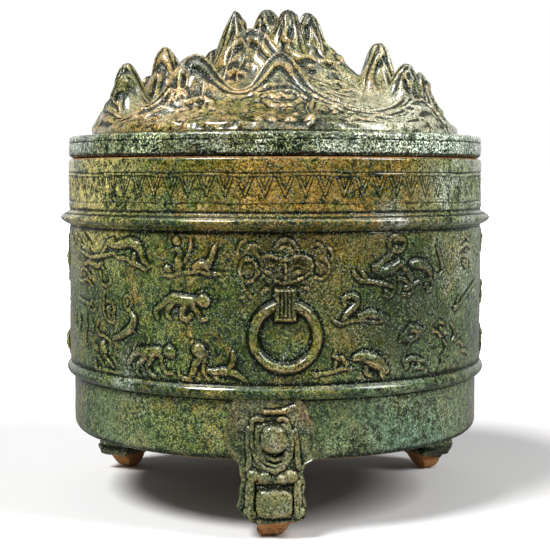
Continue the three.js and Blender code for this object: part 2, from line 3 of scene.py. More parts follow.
import bpy
import numpy as np
from bpy.props import FloatProperty, FloatVectorProperty, IntProperty, PointerProperty
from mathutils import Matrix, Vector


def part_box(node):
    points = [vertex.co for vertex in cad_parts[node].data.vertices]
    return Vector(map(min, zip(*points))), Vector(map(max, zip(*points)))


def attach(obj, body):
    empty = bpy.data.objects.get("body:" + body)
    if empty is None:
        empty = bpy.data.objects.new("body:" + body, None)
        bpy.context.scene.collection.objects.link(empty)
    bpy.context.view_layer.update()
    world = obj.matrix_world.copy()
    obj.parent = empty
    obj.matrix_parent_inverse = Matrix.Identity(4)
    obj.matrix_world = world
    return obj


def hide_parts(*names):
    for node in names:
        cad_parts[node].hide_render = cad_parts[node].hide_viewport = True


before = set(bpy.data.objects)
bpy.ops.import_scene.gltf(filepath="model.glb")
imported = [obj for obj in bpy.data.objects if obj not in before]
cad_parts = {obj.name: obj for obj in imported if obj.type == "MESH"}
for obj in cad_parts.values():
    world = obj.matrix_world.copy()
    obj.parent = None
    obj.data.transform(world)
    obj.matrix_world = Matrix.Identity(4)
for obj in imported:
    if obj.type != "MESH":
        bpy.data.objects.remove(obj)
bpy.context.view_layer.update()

bl_info = {
    "name": "Hill censer",
    "version": (1, 0, 0),
    "blender": (4, 5, 0),
    "location": "3D View > Sidebar > Hill censer",
    "description": "Builds a lead-glazed earthenware hill censer round its measured frame",
    "category": "Object",
}

MM = 0.001  # the shapes below are worked out in millimetres
WALL_LOW, WALL_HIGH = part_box("jar_wall")
FLANGE_LOW, FLANGE_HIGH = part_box("lid_flange")
HILLS_LOW, HILLS_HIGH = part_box("lid_hills")
FLOOR_LOW, FLOOR_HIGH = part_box("jar_floor")
FOOT_LOW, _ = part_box("foot_front")
LOWER_PROUD, UPPER_PROUD = 1.6, 3.9  # how far the bands stand out of the wall
HILL_EDGE = 1.0  # thickness of the mountains at their toe
BEHIND = 0.9  # height of the ridges behind, for that of the ones in front
CLEARANCE = 0.03  # kept between a surface and the CAD model's box
WALL_COLUMNS, FLOOR_COLUMNS, RIM_COLUMNS, HILL_COLUMNS = 1600, 240, 960, 1080  # points round each surface
MASK_DEGREES, MASK_HEIGHT = 2.5, 112.9  # turn of the front mask, and height of its eyes
RING_HEIGHT, RING_MIDDLE, RING_HALF = 84.6, 13.1, 1.9  # height of the ring, its radius and half its thickness
TIP_SHIFT = -2.4  # a foot's clay tip is off the middle
PEAK_DEPTH = 1.15  # of a peak from front to back, for its width
CAMERA_PLACE, CAMERA_DOWN, CAMERA_LENS = (0.0, -0.628, 0.1487), 4.2155, 86.1  # in m, degrees below level, and mm


def table(columns, *values):
    """Numbers in rows of so many columns."""
    return np.reshape(np.array(values, float), (-1, columns))


def strokes(columns, *plain, **named):
    """Strokes, each a table of points with the half width last."""
    return [table(columns, *values) for values in (*plain, *named.values())]


# Frieze figures, as strokes through [degrees from the front, row above the lower band, half width in rows]
FRIEZE_ROWS = 38
FIGURES = {
    "leaping_beast": strokes(3,
        (-29.2, 28.2, .29, -28.4, 27, .34, -26.4, 26.6, .34, -23.6, 27.4, .31, -20.4, 27.7, .31, -18.3, 28, .31,
        -16.8, 27.3, .31, -14.5, 27.4, .29, -11.3, 27.2, .24), (-24.7, 35.4, .82, -24.4, 34.9, .77),
        (-26.1, 32.9, .29, -24.7, 33.2, .43, -23.3, 32.5, .38),
        (-23.6, 32, .53, -24.1, 30.3, 1.01, -24.1, 28.6, .86),
        (-22.5, 30.1, .31, -21.4, 32.1, .36, -20.6, 34.3, .34, -20.9, 36, .29), (-27.5, 28.5, .62, -26.9, 28, .58),
        (-20.1, 28.9, .53, -18.3, 29.5, .91, -16.5, 29.7, .82, -15.5, 31, .58, -15, 32.7, .53, -14.7, 33.6, .58),
        (-15.7, 34.1, .24, -15.2, 34.8, .22), (-14.5, 34.1, .24, -14, 34.9, .22), (-16.8, 29, .38, -16, 28.1, .31),
        (-19.6, 28.5, .36, -20.1, 27.7, .29)),
    "bear": strokes(3,
        (-25.9, 21.2, 1.01, -23.1, 20.8, 1.2, -20.4, 20.6, 1.1), (-17.8, 21, 1.34, -17.3, 20.7, 1.29),
        (-18.9, 22.6, .38, -17.8, 22.9, .34), (-27, 22.6, .29, -27.5, 23.3, .24),
        (-26.7, 20.9, .72, -29, 19.3, .62, -30.8, 17.7, .58, -30.2, 16.3, .53),
        (-25.6, 20, .58, -27.3, 18.4, .53, -27.3, 16.7, .48, -26.2, 16, .38), (-22.3, 19.8, .67, -23.4, 18.1, .58,
        -23.1, 16.4, .62, -21.8, 15.9, .53, -20.7, 17.2, .48),
        (-20.2, 19.9, .62, -19.1, 18, .53, -18.1, 16.1, .48, -16.6, 16.4, .36)),
    "arched_beast": strokes(3,
        (-46.3, 33.8, .6, -43.9, 33.6, .72, -41.6, 34, .86, -38.7, 34.6, 1.01, -36.3, 33.9, 1.06, -35, 32.2, .86,
        -34.4, 30.2, .62, -32.9, 29, .38), (-48.5, 32.7, .48, -47.1, 34.3, .53, -45, 34.9, .58),
        (-46.3, 35.8, .29, -44.6, 36.4, .29), (-62.8, 31.5, .29, -56.1, 30, .31, -50.8, 30.6, .36, -47.6, 31, .38,
        -45.5, 31.6, .38), (-45.5, 31.6, .34, -43.1, 30.4, .31, -40.2, 30.5, .31, -38.1, 29.3, .36, -35.4, 28.7,
        .38, -33.8, 27.8, .36, -31.9, 29.1, .26), (-37.4, 31.4, .58, -37.7, 30.1, .48, -36.7, 29.1, .38),
        (-48.9, 32.4, .36, -50.3, 31.1, .34)),
    "small_beast": strokes(3,
        (-59.9, 28, .34, -57.3, 28.7, .53, -55, 28.5, .58, -52.3, 27.9, .53, -49.9, 28.8, .38),
        (-56.7, 27.7, .34, -55, 26.5, .29, -53.4, 25.3, .24), (-50.4, 28.3, .29, -49, 26.8, .29, -48.1, 26.3, .24),
        (-59.9, 28.5, .24, -61.3, 30, .24), (-64.7, 23.7, .29, -61.5, 23.4, .31, -58, 24.2, .34, -55.1, 22.8, .29),
        (-62.9, 26.2, .29, -59.9, 27, .29, -57.4, 26.1, .38, -56.2, 24.6, .34), (-51.4, 26.9, .24, -50.4, 25.4, .29,
        -50.5, 23.6, .29, -48.2, 23, .31, -46, 24.2, .29, -46.8, 25.6, .26)),
    "spread_wings": strokes(3,
        (-72.5, 35.9, .29, -69.6, 33.9, .31, -65.3, 31.9, .29),
        (-67.2, 36.1, .29, -63.5, 34.2, .34, -60.5, 32.2, .29),
        (-61.8, 36.6, .31, -59, 34.9, .38, -56, 33.4, .36, -54.9, 31.9, .29), (-58.4, 34.4, .24, -56.6, 32.6, .24)),
    "crouching_beast": strokes(3,
        (-64.9, 18.9, .29, -60.9, 18.2, .38, -57.6, 17.9, .38), (-55.2, 18.9, .29, -53.6, 18.3, .31, -53.6, 17, .31,
        -55.2, 16, .29, -57, 16.7, .31, -56.6, 18, .29, -55.2, 18.9, .29), (-55.2, 17.6, .43, -55.2, 17.5, .43),
        (-63.3, 15.1, .31, -62.6, 13, .38, -63.5, 10.3, .34),
        (-58.9, 14.9, .36, -58.3, 12.1, .38, -59.8, 8.5, .36, -57.9, 5, .31),
        (-67, 16.6, .29, -67.1, 13.1, .31, -66.2, 10, .29), (-55.9, 14.2, .31, -54.8, 11.6, .34, -56, 9.4, .29)),
    "standing_figure": strokes(3,
        (-49.1, 21.4, .38, -49.6, 19.8, .48), (-49.6, 18.6, .34, -49.6, 16.8, .34, -48.8, 15, .34, -47, 14.1, .36,
        -45.3, 14, .31), (-45.7, 18.8, .31, -44.9, 17.4, .38, -45.3, 15.8, .38, -44.9, 14.6, .29),
        (-48.2, 19.4, .29, -46.5, 19, .29), (-47.4, 17.4, .53, -47, 15.4, .58)),
    "small_bird": strokes(3,
        (-39.9, 21.2, .29, -38.7, 20.5, .31, -38.4, 19.3, .31, -38.9, 18, .29, -40, 17.4, .29, -40.8, 18.4, .31,
        -41.2, 19.6, .31, -40.8, 20.7, .29, -39.9, 21.2, .29), (-39.9, 20, .43, -39.9, 19, .38),
        (-39.6, 17.7, .31, -38.6, 16.8, .36)),
    "curved_hill": strokes(3,
        (-38.6, 16.5, .62, -37.5, 15.3, .77, -38.2, 13.5, .91, -40.4, 11.9, .82, -43, 10.6, .62, -45.4, 9.9, .34)),
    "wolf": strokes(3,
        (-52.1, 14, .36, -53.2, 11.8, .34, -51.7, 10.4, .34, -49.3, 10.1, .38, -47.1, 9.3, .34),
        (-53.8, 7, .67, -52.8, 6.4, .58), (-49.8, 8, .96, -48.9, 6.5, .86),
        (-52.3, 4.9, .38, -50.8, 3.5, .36, -49.4, 2.3, .31), (-48.9, 5, .38, -47.2, 3.9, .36, -45.5, 2.7, .31),
        (-45.5, 4.8, .36, -44.3, 3.6, .34), (-53.9, 3.1, .58, -53.4, 2.1, .53),
        (-53.9, 1.3, .31, -49.9, 1.5, .31, -46.4, 1.4, .31, -43.1, 1.4, .26)),
    "walking_beast": strokes(3,
        (-35.9, 7.4, .96, -33.1, 7.4, 1.1, -30, 7.8, 1.01), (-26.8, 8, 1.29, -26.5, 7.8, 1.29),
        (-36.9, 9.9, .29, -37.6, 8, .38, -37, 6.6, .48), (-37.6, 6.5, .58, -39.4, 4.6, .53, -39.4, 2.8, .43),
        (-34, 6.3, .62, -36, 4.4, .53, -36.7, 2.3, .48, -35.4, .9, .34),
        (-31.8, 6, .62, -33.4, 3.9, .53, -32.2, 1.9, .48, -30, 1.1, .34),
        (-29.1, 6.4, .53, -28.8, 4.2, .48, -27.7, 2.5, .43, -25.7, 2.7, .31),
        (-41.3, .6, .24, -37.4, .5, .26, -32.5, .4, .26)),
    "upright_figure": strokes(3,
        (-18.9, 8.9, 1.49, -18.4, 8.2, 1.34), (-18.4, 6.8, .72, -19.7, 5.2, .72, -20.3, 3.2, .62, -21.3, 1.7, .43),
        (-16.6, 8.3, .38, -17.4, 5.8, .38, -17.7, 3.4, .36, -16.4, 1.9, .29),
        (-24.3, 3.5, .31, -24, 2.3, .38, -22.7, 1.4, .41, -20.8, 1.2, .34), (-20.8, 10.3, .38, -20.2, 10.9, .29)),
    "snake": strokes(3,
        (-16.4, 3.7, .43, -14.6, 3.5, .62, -12.8, 3.8, .77, -11.1, 3.6, .77, -9.4, 3.2, .62, -7.9, 2.2, .53, -6.5,
        1, .31), (-11.1, 4.3, .58, -10.4, 5.6, .62, -9.9, 7, .62, -10.1, 8.3, .43),
        (-14.9, 2.5, .24, -12.9, 1.3, .26, -10.4, .7, .26, -7, .5, .24)),
    "crane": strokes(3,
        (17.1, 20, .36, 16.6, 21.2, .38, 17.6, 21.9, .46, 19.1, 22.1, .55, 20.2, 21.4, .6, 20.2, 19.9, .6, 18.9,
        18.7, .6, 17.6, 17.6, .53, 16.8, 16.4, .43), (13.8, 16.9, .29, 14.3, 15.9, .31, 16.1, 14.9, .34, 17.6, 15.6,
        .31, 18.9, 16, .31, 22.3, 15.9, .29, 24.5, 15.3, .31, 27, 15.5, .29, 28.8, 15.4, .26), (21, 16.9, .62, 23.1,
        17.4, .86, 25, 17.3, .86, 27, 16.4, .62, 28.8, 16.1, .38)),
    "boar": strokes(3,
        (9.2, 3.4, .34, 9.9, 2.7, .43, 10.9, 3.1, .38, 12.6, 3.3, .36, 14.8, 3.7, .34, 17.1, 4.4, .34, 18.9, 4,
        .31), (14.8, 8.9, .31, 14.3, 7.7, .38, 14.8, 6.9, .38, 16.6, 6.8, .43), (14.8, 5.9, .36, 14.6, 4.5, .34),
        (16.9, 6.3, .43, 17.6, 5.3, .48), (19.2, 6.7, .48, 21, 7.1, .86, 22.9, 6.8, 1.25, 24.8, 5.9, 1.49, 26.5,
        4.8, 1.34, 28.3, 3.2, .86), (22.7, 4.1, .58, 22.7, 2.9, .48, 24.3, 2, .38),
        (26.8, 2.8, .58, 27.7, 1.5, .43)),
    "owl": strokes(3,
        (32.4, 10.4, .43, 34, 11.8, .58, 35.9, 13.2, .82, 37.9, 12.8, .96, 39.7, 12.4, .53),
        (38.6, 14.3, .38, 38.2, 13.3, .43), (34, 10.6, .62, 36.2, 10.7, .67, 37.6, 10.8, .48),
        (35, 8.7, .31, 35.9, 9.9, .31, 38.3, 11, .29, 40, 11.9, .24)),
    "hare": strokes(3,
        (34.3, 5, .38, 36.3, 5.6, .53, 38.3, 5.2, .53, 40.5, 4.5, .34), (35, 4.2, .43, 35, 3.2, .34),
        (36.6, 4.1, .36, 36.3, 3.1, .31), (38.7, 3.9, .43, 39.1, 2.9, .34),
        (35.7, 2.7, .26, 39.1, 3.1, .31, 41.6, 2.4, .29), (34, 7.3, .29, 33.7, 5.3, .34, 34.4, 3.3, .29)),
    "climber": strokes(3,
        (46.6, 14.2, .34, 48.3, 13.5, .38, 48.8, 11.9, .34),
        (51.6, 13.5, .36, 53.2, 11.8, .43, 53.7, 9.9, .38, 52.2, 8.5, .34), (47, 12.1, .58, 49.3, 11.1, .58),
        (44.2, 12.1, .31, 45.8, 11.4, .34, 47.1, 10.3, .34), (48.4, 8.9, .43, 49.8, 7.5, .43, 48.9, 6, .43, 47.6,
        4.6, .36, 47.2, 2.8, .29), (54.3, 7.8, .34, 56.6, 8.1, .38, 58.5, 6.8, .34),
        (57.9, 5.6, .38, 60.6, 5, .43, 62.9, 3.9, .34), (53.8, 8.6, .29, 57.8, 10.3, .29),
        (50.3, 5.9, .29, 48, 4, .29)),
    "dragon": strokes(3,
        (33.8, 34.5, .41, 33.5, 35.5, .41, 32.5, 36.2, .41, 31.3, 36.5, .41, 30, 36.3, .41, 29.2, 35.6, .41, 28.8,
        34.6, .41, 29.2, 33.6, .41, 30.1, 32.8, .41, 31.3, 32.5, .41, 32.5, 32.7, .41, 33.5, 33.5, .41, 33.8, 34.5,
        .41), (30.4, 35.3, .26, 31.6, 35.7, .31, 32.8, 35.2, .26), (31, 33.3, .48, 31.9, 33, .53),
        (29.8, 32.3, .43, 28.4, 30.9, .48, 26.6, 29.5, .58, 25, 28.6, .72),
        (25.3, 28.3, .82, 27.5, 27.7, 1.1, 29.8, 28.4, 1.06, 31.9, 29.6, .82), (19.1, 28.7, .31, 19.6, 27.2, .38,
        21.2, 25.5, .43, 23.6, 25.4, .38, 25.8, 24.9, .36, 28.7, 24.3, .34, 30.5, 23.7, .31),
        (21.5, 27.7, .29, 22.5, 26.4, .53), (30.5, 25.7, .29, 30.8, 23.9, .34, 30.2, 22, .38, 28.7, 21.1, .34, 27.6,
        21.8, .29), (28.1, 22.6, .53, 28.7, 22.3, .53), (32, 25.9, .34, 33.8, 25.5, .38, 35.1, 24.2, .38, 36.5,
        22.7, .36, 35.2, 21.5, .36, 33.2, 21.8, .34), (33.9, 23.3, .53, 34.8, 23.5, .53), (35.7, 29.2, .67, 37.7,
        29.4, .96, 40.2, 28.8, .96, 42, 27.7, .72, 42.8, 26.4, .48),
        (36.8, 24.2, .34, 38.8, 24.8, .34, 41.3, 24.9, .31, 42.8, 25.1, .31),
        (42.8, 25.4, .34, 43.6, 24, .38, 43.2, 22.5, .38, 41.4, 22.2, .36), (41, 23.7, .53, 41.7, 23.1, .48), (46.3,
        35.1, .29, 45.5, 33.1, .34, 46.3, 31, .36, 47.2, 29.2, .36, 47.7, 27.1, .34, 46.4, 25.7, .36, 44.4, 26.3,
        .31), (44.7, 27.8, .36, 45.6, 27.2, .38), (33.2, 29.3, .62, 34.8, 27.2, .67, 36.1, 25.7, .58)),
    "stretched_beast": strokes(3,
        (57.2, 32.6, .36, 60.5, 33.5, .48, 63.6, 32.3, .36), (60.4, 34.8, .26, 62.7, 33.9, .26),
        (57.9, 30.5, .38, 60.5, 30.1, .34), (58.6, 28.6, .77, 59.9, 28, .77), (62.9, 28.4, .34, 62.9, 26.8, .38),
        (68.9, 23.2, .34, 64.8, 21.9, .38, 62.3, 20.7, .43, 58.8, 19.2, .38, 55.8, 17.8, .53, 53.6, 17, .62),
        (56.3, 19.9, .29, 54.6, 18.4, .31)),
}
# Single figures turned to the sides, in degrees
SIDE_FIGURES = {
    "right_arched_beast": ("arched_beast", 130), "right_bear": ("bear", 112),
    "right_walking_beast": ("walking_beast", 120), "left_dragon": ("dragon", -126),
    "left_crane": ("crane", -116), "left_boar": ("boar", -112),
}

# Mask, as strokes through [mm across, mm up from the eyes, half width in mm]
MASK_STROKES = strokes(
    3, left_brow=(-12.3, 6, .38, -10.7, 4, .51, -9.9, 1.9, .47), left_brow_top=(-9.5, 3.6, .64, -7.5, 4.4, .72,
    -5.4, 4.4, .68, -3.4, 3.6, .51), right_brow=(2.6, 3.6, .47, 5, 4.4, .59, 7.9, 3.9, .59, 10.3, 2.7, .51, 11.2,
    .7, .47), left_eye=(-8.3, -.9, .42, -6.6, .7, .47, -4.6, .3, .47, -3, -.9, .47, -1.8, -2.9, .38),
    left_eye_low=(-7.9, -1.7, .47, -5.8, -2.1, .55, -4.2, -3.7, .55),
    right_eye=(1.8, -1.3, .42, 3.4, .3, .47, 5.5, .7, .47, 7.5, -.5, .42),
    right_eye_low=(3.8, -2.1, .55, 5.9, -1.7, .59, 7.1, -2.5, .47), jaw_left=(-9.5, 2, .47, -9.5, -.9, .47, -7.1,
    -2.9, .42, -4.2, -5.3, .42, -1.8, -6.6, .42), jaw_right=(11.2, .7, .51, 10.4, -1.8, .51, 7.5, -4.2, .59, 4.7,
    -5.4, .51, 2.2, -6.2, .42), lip=(-2.6, -5.7, .47, -.6, -6.8, .55, 1.4, -6.4, .55, 3, -5.8, .42),
    nose_bridge=(-1.8, 2.8, .55, .2, 3.2, .64, 1.8, 2.8, .51), nose=(-.2, 1.1, .47, .2, -1.7, .55, .2, -4.1, .51),
    left_scroll=(-19.6, 4.3, .42, -19.2, 7.6, .55, -18, 9.6, .55, -15.9, 10.8, .47), left_scroll_top=(-15.9, 6.8,
    .47, -14.3, 8.4, .55, -11.9, 8.8, .55, -10.3, 8, .42), right_scroll=(10.3, 7.2, .51, 11.1, 8.8, .55, 13.2, 9.2,
    .51, 15.3, 7.9, .47, 16.1, 5.9, .42), right_scroll_back=(16.9, 8.3, .42, 18.6, 6.7, .51, 19.5, 4.6, .51, 18.6,
    2.2, .42), right_scroll_low=(14.9, 3.9, .47, 16.5, 3, .55, 17.8, 1, .51, 18.2, -1.5, .47, 17, -3.5, .51, 14.5,
    -5.1, .51, 12, -4.2, .47), right_scroll_inner=(12.4, 1.5, .51, 14.5, .2, .59, 15.3, -.6, .51), left_tail=(-17.6,
    -6.2, .42, -16.8, -9.1, .51, -14.7, -11.5, .51, -12.7, -13.5, .42), left_tail_high=(-11.9, -.5, .47, -10.7,
    -2.1, .51, -11.9, -4.1, .47, -13.9, -5.8, .42), left_beard=(-9.1, -3.3, .51, -7.5, -4.9, .64, -6.2, -6.6, .51),
    left_beard_low=(-9.5, -10.6, .59, -8.3, -9, .68, -6.7, -9, .55),
    right_beard=(4.7, -10.2, .42, 6.7, -9, .59, 8.7, -8.7, .59, 10.4, -9.9, .47), dome_line=(-4.6, 6.8, .47, -3.4,
    9.2, .59, -1.8, 10.7, .64, .2, 11.1, .68, 2.2, 10.4, .64, 3.8, 8.8, .59, 5.4, 6.8, .47),
    dome_inner=(-2.2, 7.2, .38, -.6, 8.4, .47, 1.4, 8, .42, 2.6, 6.8, .38), left_loop=(-11.7, -1.5, .53, -12.1, .8,
    .53, -13.4, 2.5, .53, -15.1, 3.1, .53, -16.9, 2.5, .53, -18.2, .8, .53, -18.7, -1.6, .53, -18.2, -3.9, .53,
    -16.9, -5.6, .53, -15.1, -6.2, .53, -13.4, -5.5, .53, -12.1, -3.8, .53, -11.7, -1.5, .53))
MASK_PLATES = strokes(
    3, (.2, 8, 3.64, .2, 6.4, 4.04), (-5.4, .7, 3.64, .2, -.5, 4.85, 6.7, .7, 3.64),
    (-15.1, -1.3, 2.42, -15.1, -1.7, 2.42), (14.5, 5.5, 2.42, 14.9, -.6, 2.42),
    (-15.9, 7.6, 2.02, -13.5, 6.8, 2.02))

# Bear foot, as strokes through [mm across, mm above the ground, half width in mm]
BEAR_STROKES = strokes(
    3, head=(-.6, 43.4, 5, -.4, 42, 5.3), muzzle=(-.2, 41.4, 2, 0, 39.5, 2.7),
    left_brow=(-4, 44.4, .9, -1.8, 45.2, .8), right_brow=(1, 45.2, .8, 3, 44.4, .9),
    left_cheek=(-3.9, 41.4, 1.2, -3.5, 39.4, 1.3), right_cheek=(3.3, 41.4, 1.2, 3.1, 39.4, 1.3),
    left_ear=(-4.9, 47, 1.3, -4.2, 47.8, 1.2), right_ear=(3.4, 47.8, 1.2, 4, 47, 1.2),
    lip=(-4.4, 37, .6, -3, 34.6, .7, 0, 33.6, .9, 3, 34.6, .7, 4.4, 37, .6),
    chin=(-3.8, 32.4, .6, 0, 31, .8, 3.6, 32.4, .6),
    left_neck=(-6.6, 47, 1.3, -7, 41, 1.5, -5.8, 35.6, 1.5, -4.6, 33.2, 1),
    right_neck=(4.9, 46.6, 1, 5.1, 41, 1.3, 4.7, 36.4, 1.3, 3.8, 33.4, 1), ruff=(-9.4, 49.8, .8, -9.6, 45, .9, -9.4,
    40.2, .9, -7.6, 33.6, .9, -4.2, 29.9, .9, 0, 28.9, 1, 3.5, 30.5, .9, 6.1, 34.7, .9, 7.1, 40.2, .9, 6.7, 45, .9,
    4.7, 49.8, .8), top_curl=(-9.4, 49.8, .9, -7, 51, 1, -5.2, 50.2, .9),
    top_curl_right=(4.7, 49.8, .9, 2.8, 50.8, 1, 1.4, 50.2, .8),
    left_mane=(-11, 46.6, .8, -11.4, 40, .9, -10.4, 34, 1, -11.2, 29.6, 1),
    right_mane=(8.2, 45.6, .8, 9, 40.8, .9, 9.4, 35, 1, 9.8, 30.6, 1), left_paws=(-9.2, 27.3, 2.3, -9, 27.1, 2.3),
    left_inner_paw=(-4.5, 26.3, 2.5, -4.3, 26.3, 2.5), right_inner_paw=(2.9, 25.7, 2.1, 3.2, 25.7, 2.1),
    right_paw=(6.2, 27, 2.7, 6.6, 27, 2.7), left_arm=(-10, 24, 1.6, -10.3, 19, 1.9, -10.3, 13.6, 1.7),
    right_arm=(9.2, 24, 1.4, 9.3, 19, 1.5, 9.2, 13.6, 1.4), belly_left=(-3.9, 17.8, 3.7, -3.9, 13.6, 3.7),
    belly_right=(3.4, 17.8, 3.6, 3.4, 13.6, 3.6), belly_middle=(-.2, 18, 3.9, -.2, 13.6, 3.9),
    left_foot=(-11.2, 12.2, 1.7, -9.8, 11, 1.9), right_foot=(10.8, 12, 1.7, 9.4, 10.9, 1.7),
    toe_1=(-10.2, 8, 1, -9.8, 8, 1), toe_2=(-7, 7.8, 1, -6.6, 7.8, 1), toe_3=(7.4, 7.8, 1, 7, 7.8, 1),
    toe_4=(10.6, 8.1, 1, 10.2, 8.1, 1), brow_ridge=(-4.2, 53.2, .9, 2.4, 53.4, 1, 8.2, 55.6, .9))
BEAR_CUTS = strokes(
    3, shelf=(-8.2, 52.1, .6, -3, 52, .8, 2.6, 52.2, .6),
    mouth=(-4, 38, .4, -2.6, 36.4, .9, 0, 35.7, 1.2, 2.6, 36.4, .9, 4, 38, .4),
    chin_shade=(-3.2, 33, .4, 0, 32.2, .7, 3.2, 33, .4), left_gap=(-8.2, 23.4, .6, -8.3, 12.5, .6),
    right_gap=(7.5, 23.4, .6, 7.4, 12.5, .6), belly_top=(-7.4, 23, .6, 0, 23.3, .6, 7, 23, .6),
    under_belly=(-6.4, 8.9, .6, 0, 8.6, .7, 6.4, 8.9, .6))
# Outline of the foot: heights, and the half widths there
FOOT_LEFT = ([0, .6, 1.7, 3.4, 6.4, 7.6, 10, 13.6, 19.7, 25, 29, 31, 33, 35.5, 38, 43.5, 52, 59],
             [1.6, 3.6, 5.2, 6.3, 7, 10.8, 13.2, 15.8, 14.6, 14.2, 14.6, 15.6, 17, 18.6, 20.3, 21, 19.3, 17.2])
FOOT_RIGHT = ([0, .6, 1.7, 3.4, 6.4, 7.6, 10, 13, 17, 22.5, 29, 30.7, 32, 33.5, 34.5, 40, 50, 59],
              [1.5, 3.4, 5, 6, 6.6, 11.2, 12.9, 13.1, 12.2, 12.3, 11.8, 12.2, 13.6, 17, 18.4, 17.6, 15, 11])

# Ridges of the mountains: width of the outer and the inner slope, height of the ropes along it, and crest points
# [x, y, height above the flange]
RIDGES = {
    "front_wave": (9.5, 9, 1, table(3, -66, -38, 7, -60, -43, 9, -55, -47, 12, -50, -48, 17, -45, -46.5, 25, -40,
        -44, 32, -34.5, -43, 34.8, -29, -44, 31.5, -24, -45.5, 24.5, -19.5, -46.5, 19.5, -15, -46.5, 18, -11, -45.5,
        20.5, -6.5, -43, 27, -2.5, -41, 33, 2, -40, 36, 6.5, -41, 33.5, 11, -44, 27, 17, -49, 19.5, 24, -54, 14, 31,
        -57, 10.5, 38, -57, 9, 45, -53, 9.5, 52, -47, 13, 58, -38, 18)),
    "second_wave": (8, 9, .9, table(3, -27.5, -31, 27, -24.5, -29, 34, -20.5, -26, 41, -15.5, -23, 46.5, -10.5, -21,
        48.5, -5.5, -22.5, 46.5, -1, -26, 41, 3.5, -30, 35, 9, -33, 30)),
    "summit_fold": (6, 8, .6, table(3, 5, -16, 47, 7.5, -20, 42, 12, -24, 37.5, 18, -26, 34, 24, -27, 30, 31, -26,
        25)),
    "right_fold": (8, 8, .5, table(3, 16, -3, 52, 22, -4, 45.5, 28, -6, 39, 34, -8, 33, 40, -10, 28)),
    "right_inner_fold": (6, 8, .6, table(3, 16, -10, 45, 22, -14, 38, 28, -17, 32, 35, -20, 26)),
    "right_low_fold": (6, 8, .5, table(3, 12, -34, 25, 20, -36, 22, 28, -38, 18, 36, -38, 14)),
    "left_spur": (8, 9, .8, table(3, -79, -10, 10, -76, -22, 12, -71, -34, 9, -64, -42, 5)),
    "left_inner_spur": (8, 8, .8, table(3, -56, -30, 14, -50, -34, 18, -44, -36, 24)),
    "right_spur": (8, 9, .7, table(3, 48, -60, 5, 56, -52, 9, 62, -42, 15, 68, -30, 14, 74, -18, 10)),
}
# Single peaks: [x, y, height, half width, steepness, 1 where one more stands opposite, behind]
PEAKS = table(
    6, -69, -8, 34.5, 9, 2.1, 1, -75, -13, 18, 8.5, 2, 1, -52.5, 12, 43.5, 10, 2.3, 0, -42, 8, 37, 8.5, 2, 0, -18.7,
    -4, 59, 9.5, 1.7, 0, -3.6, 2, 60, 9.5, 2.3, 0, 6.5, -9, 58.5, 9.5, 2.3, 0, 15.6, -2, 58, 8.8, 2.3, 0, 47.7, -12,
    43.2, 8.6, 2.6, 0, 60, -20, 33.2, 9, 2.1, 1, 69, -16, 20, 9, 2, 1, -28, 2, 42, 10, 2, 0, -40, -18, 30, 9, 2, 1,
    -2, -12, 44, 12, 2, 0)
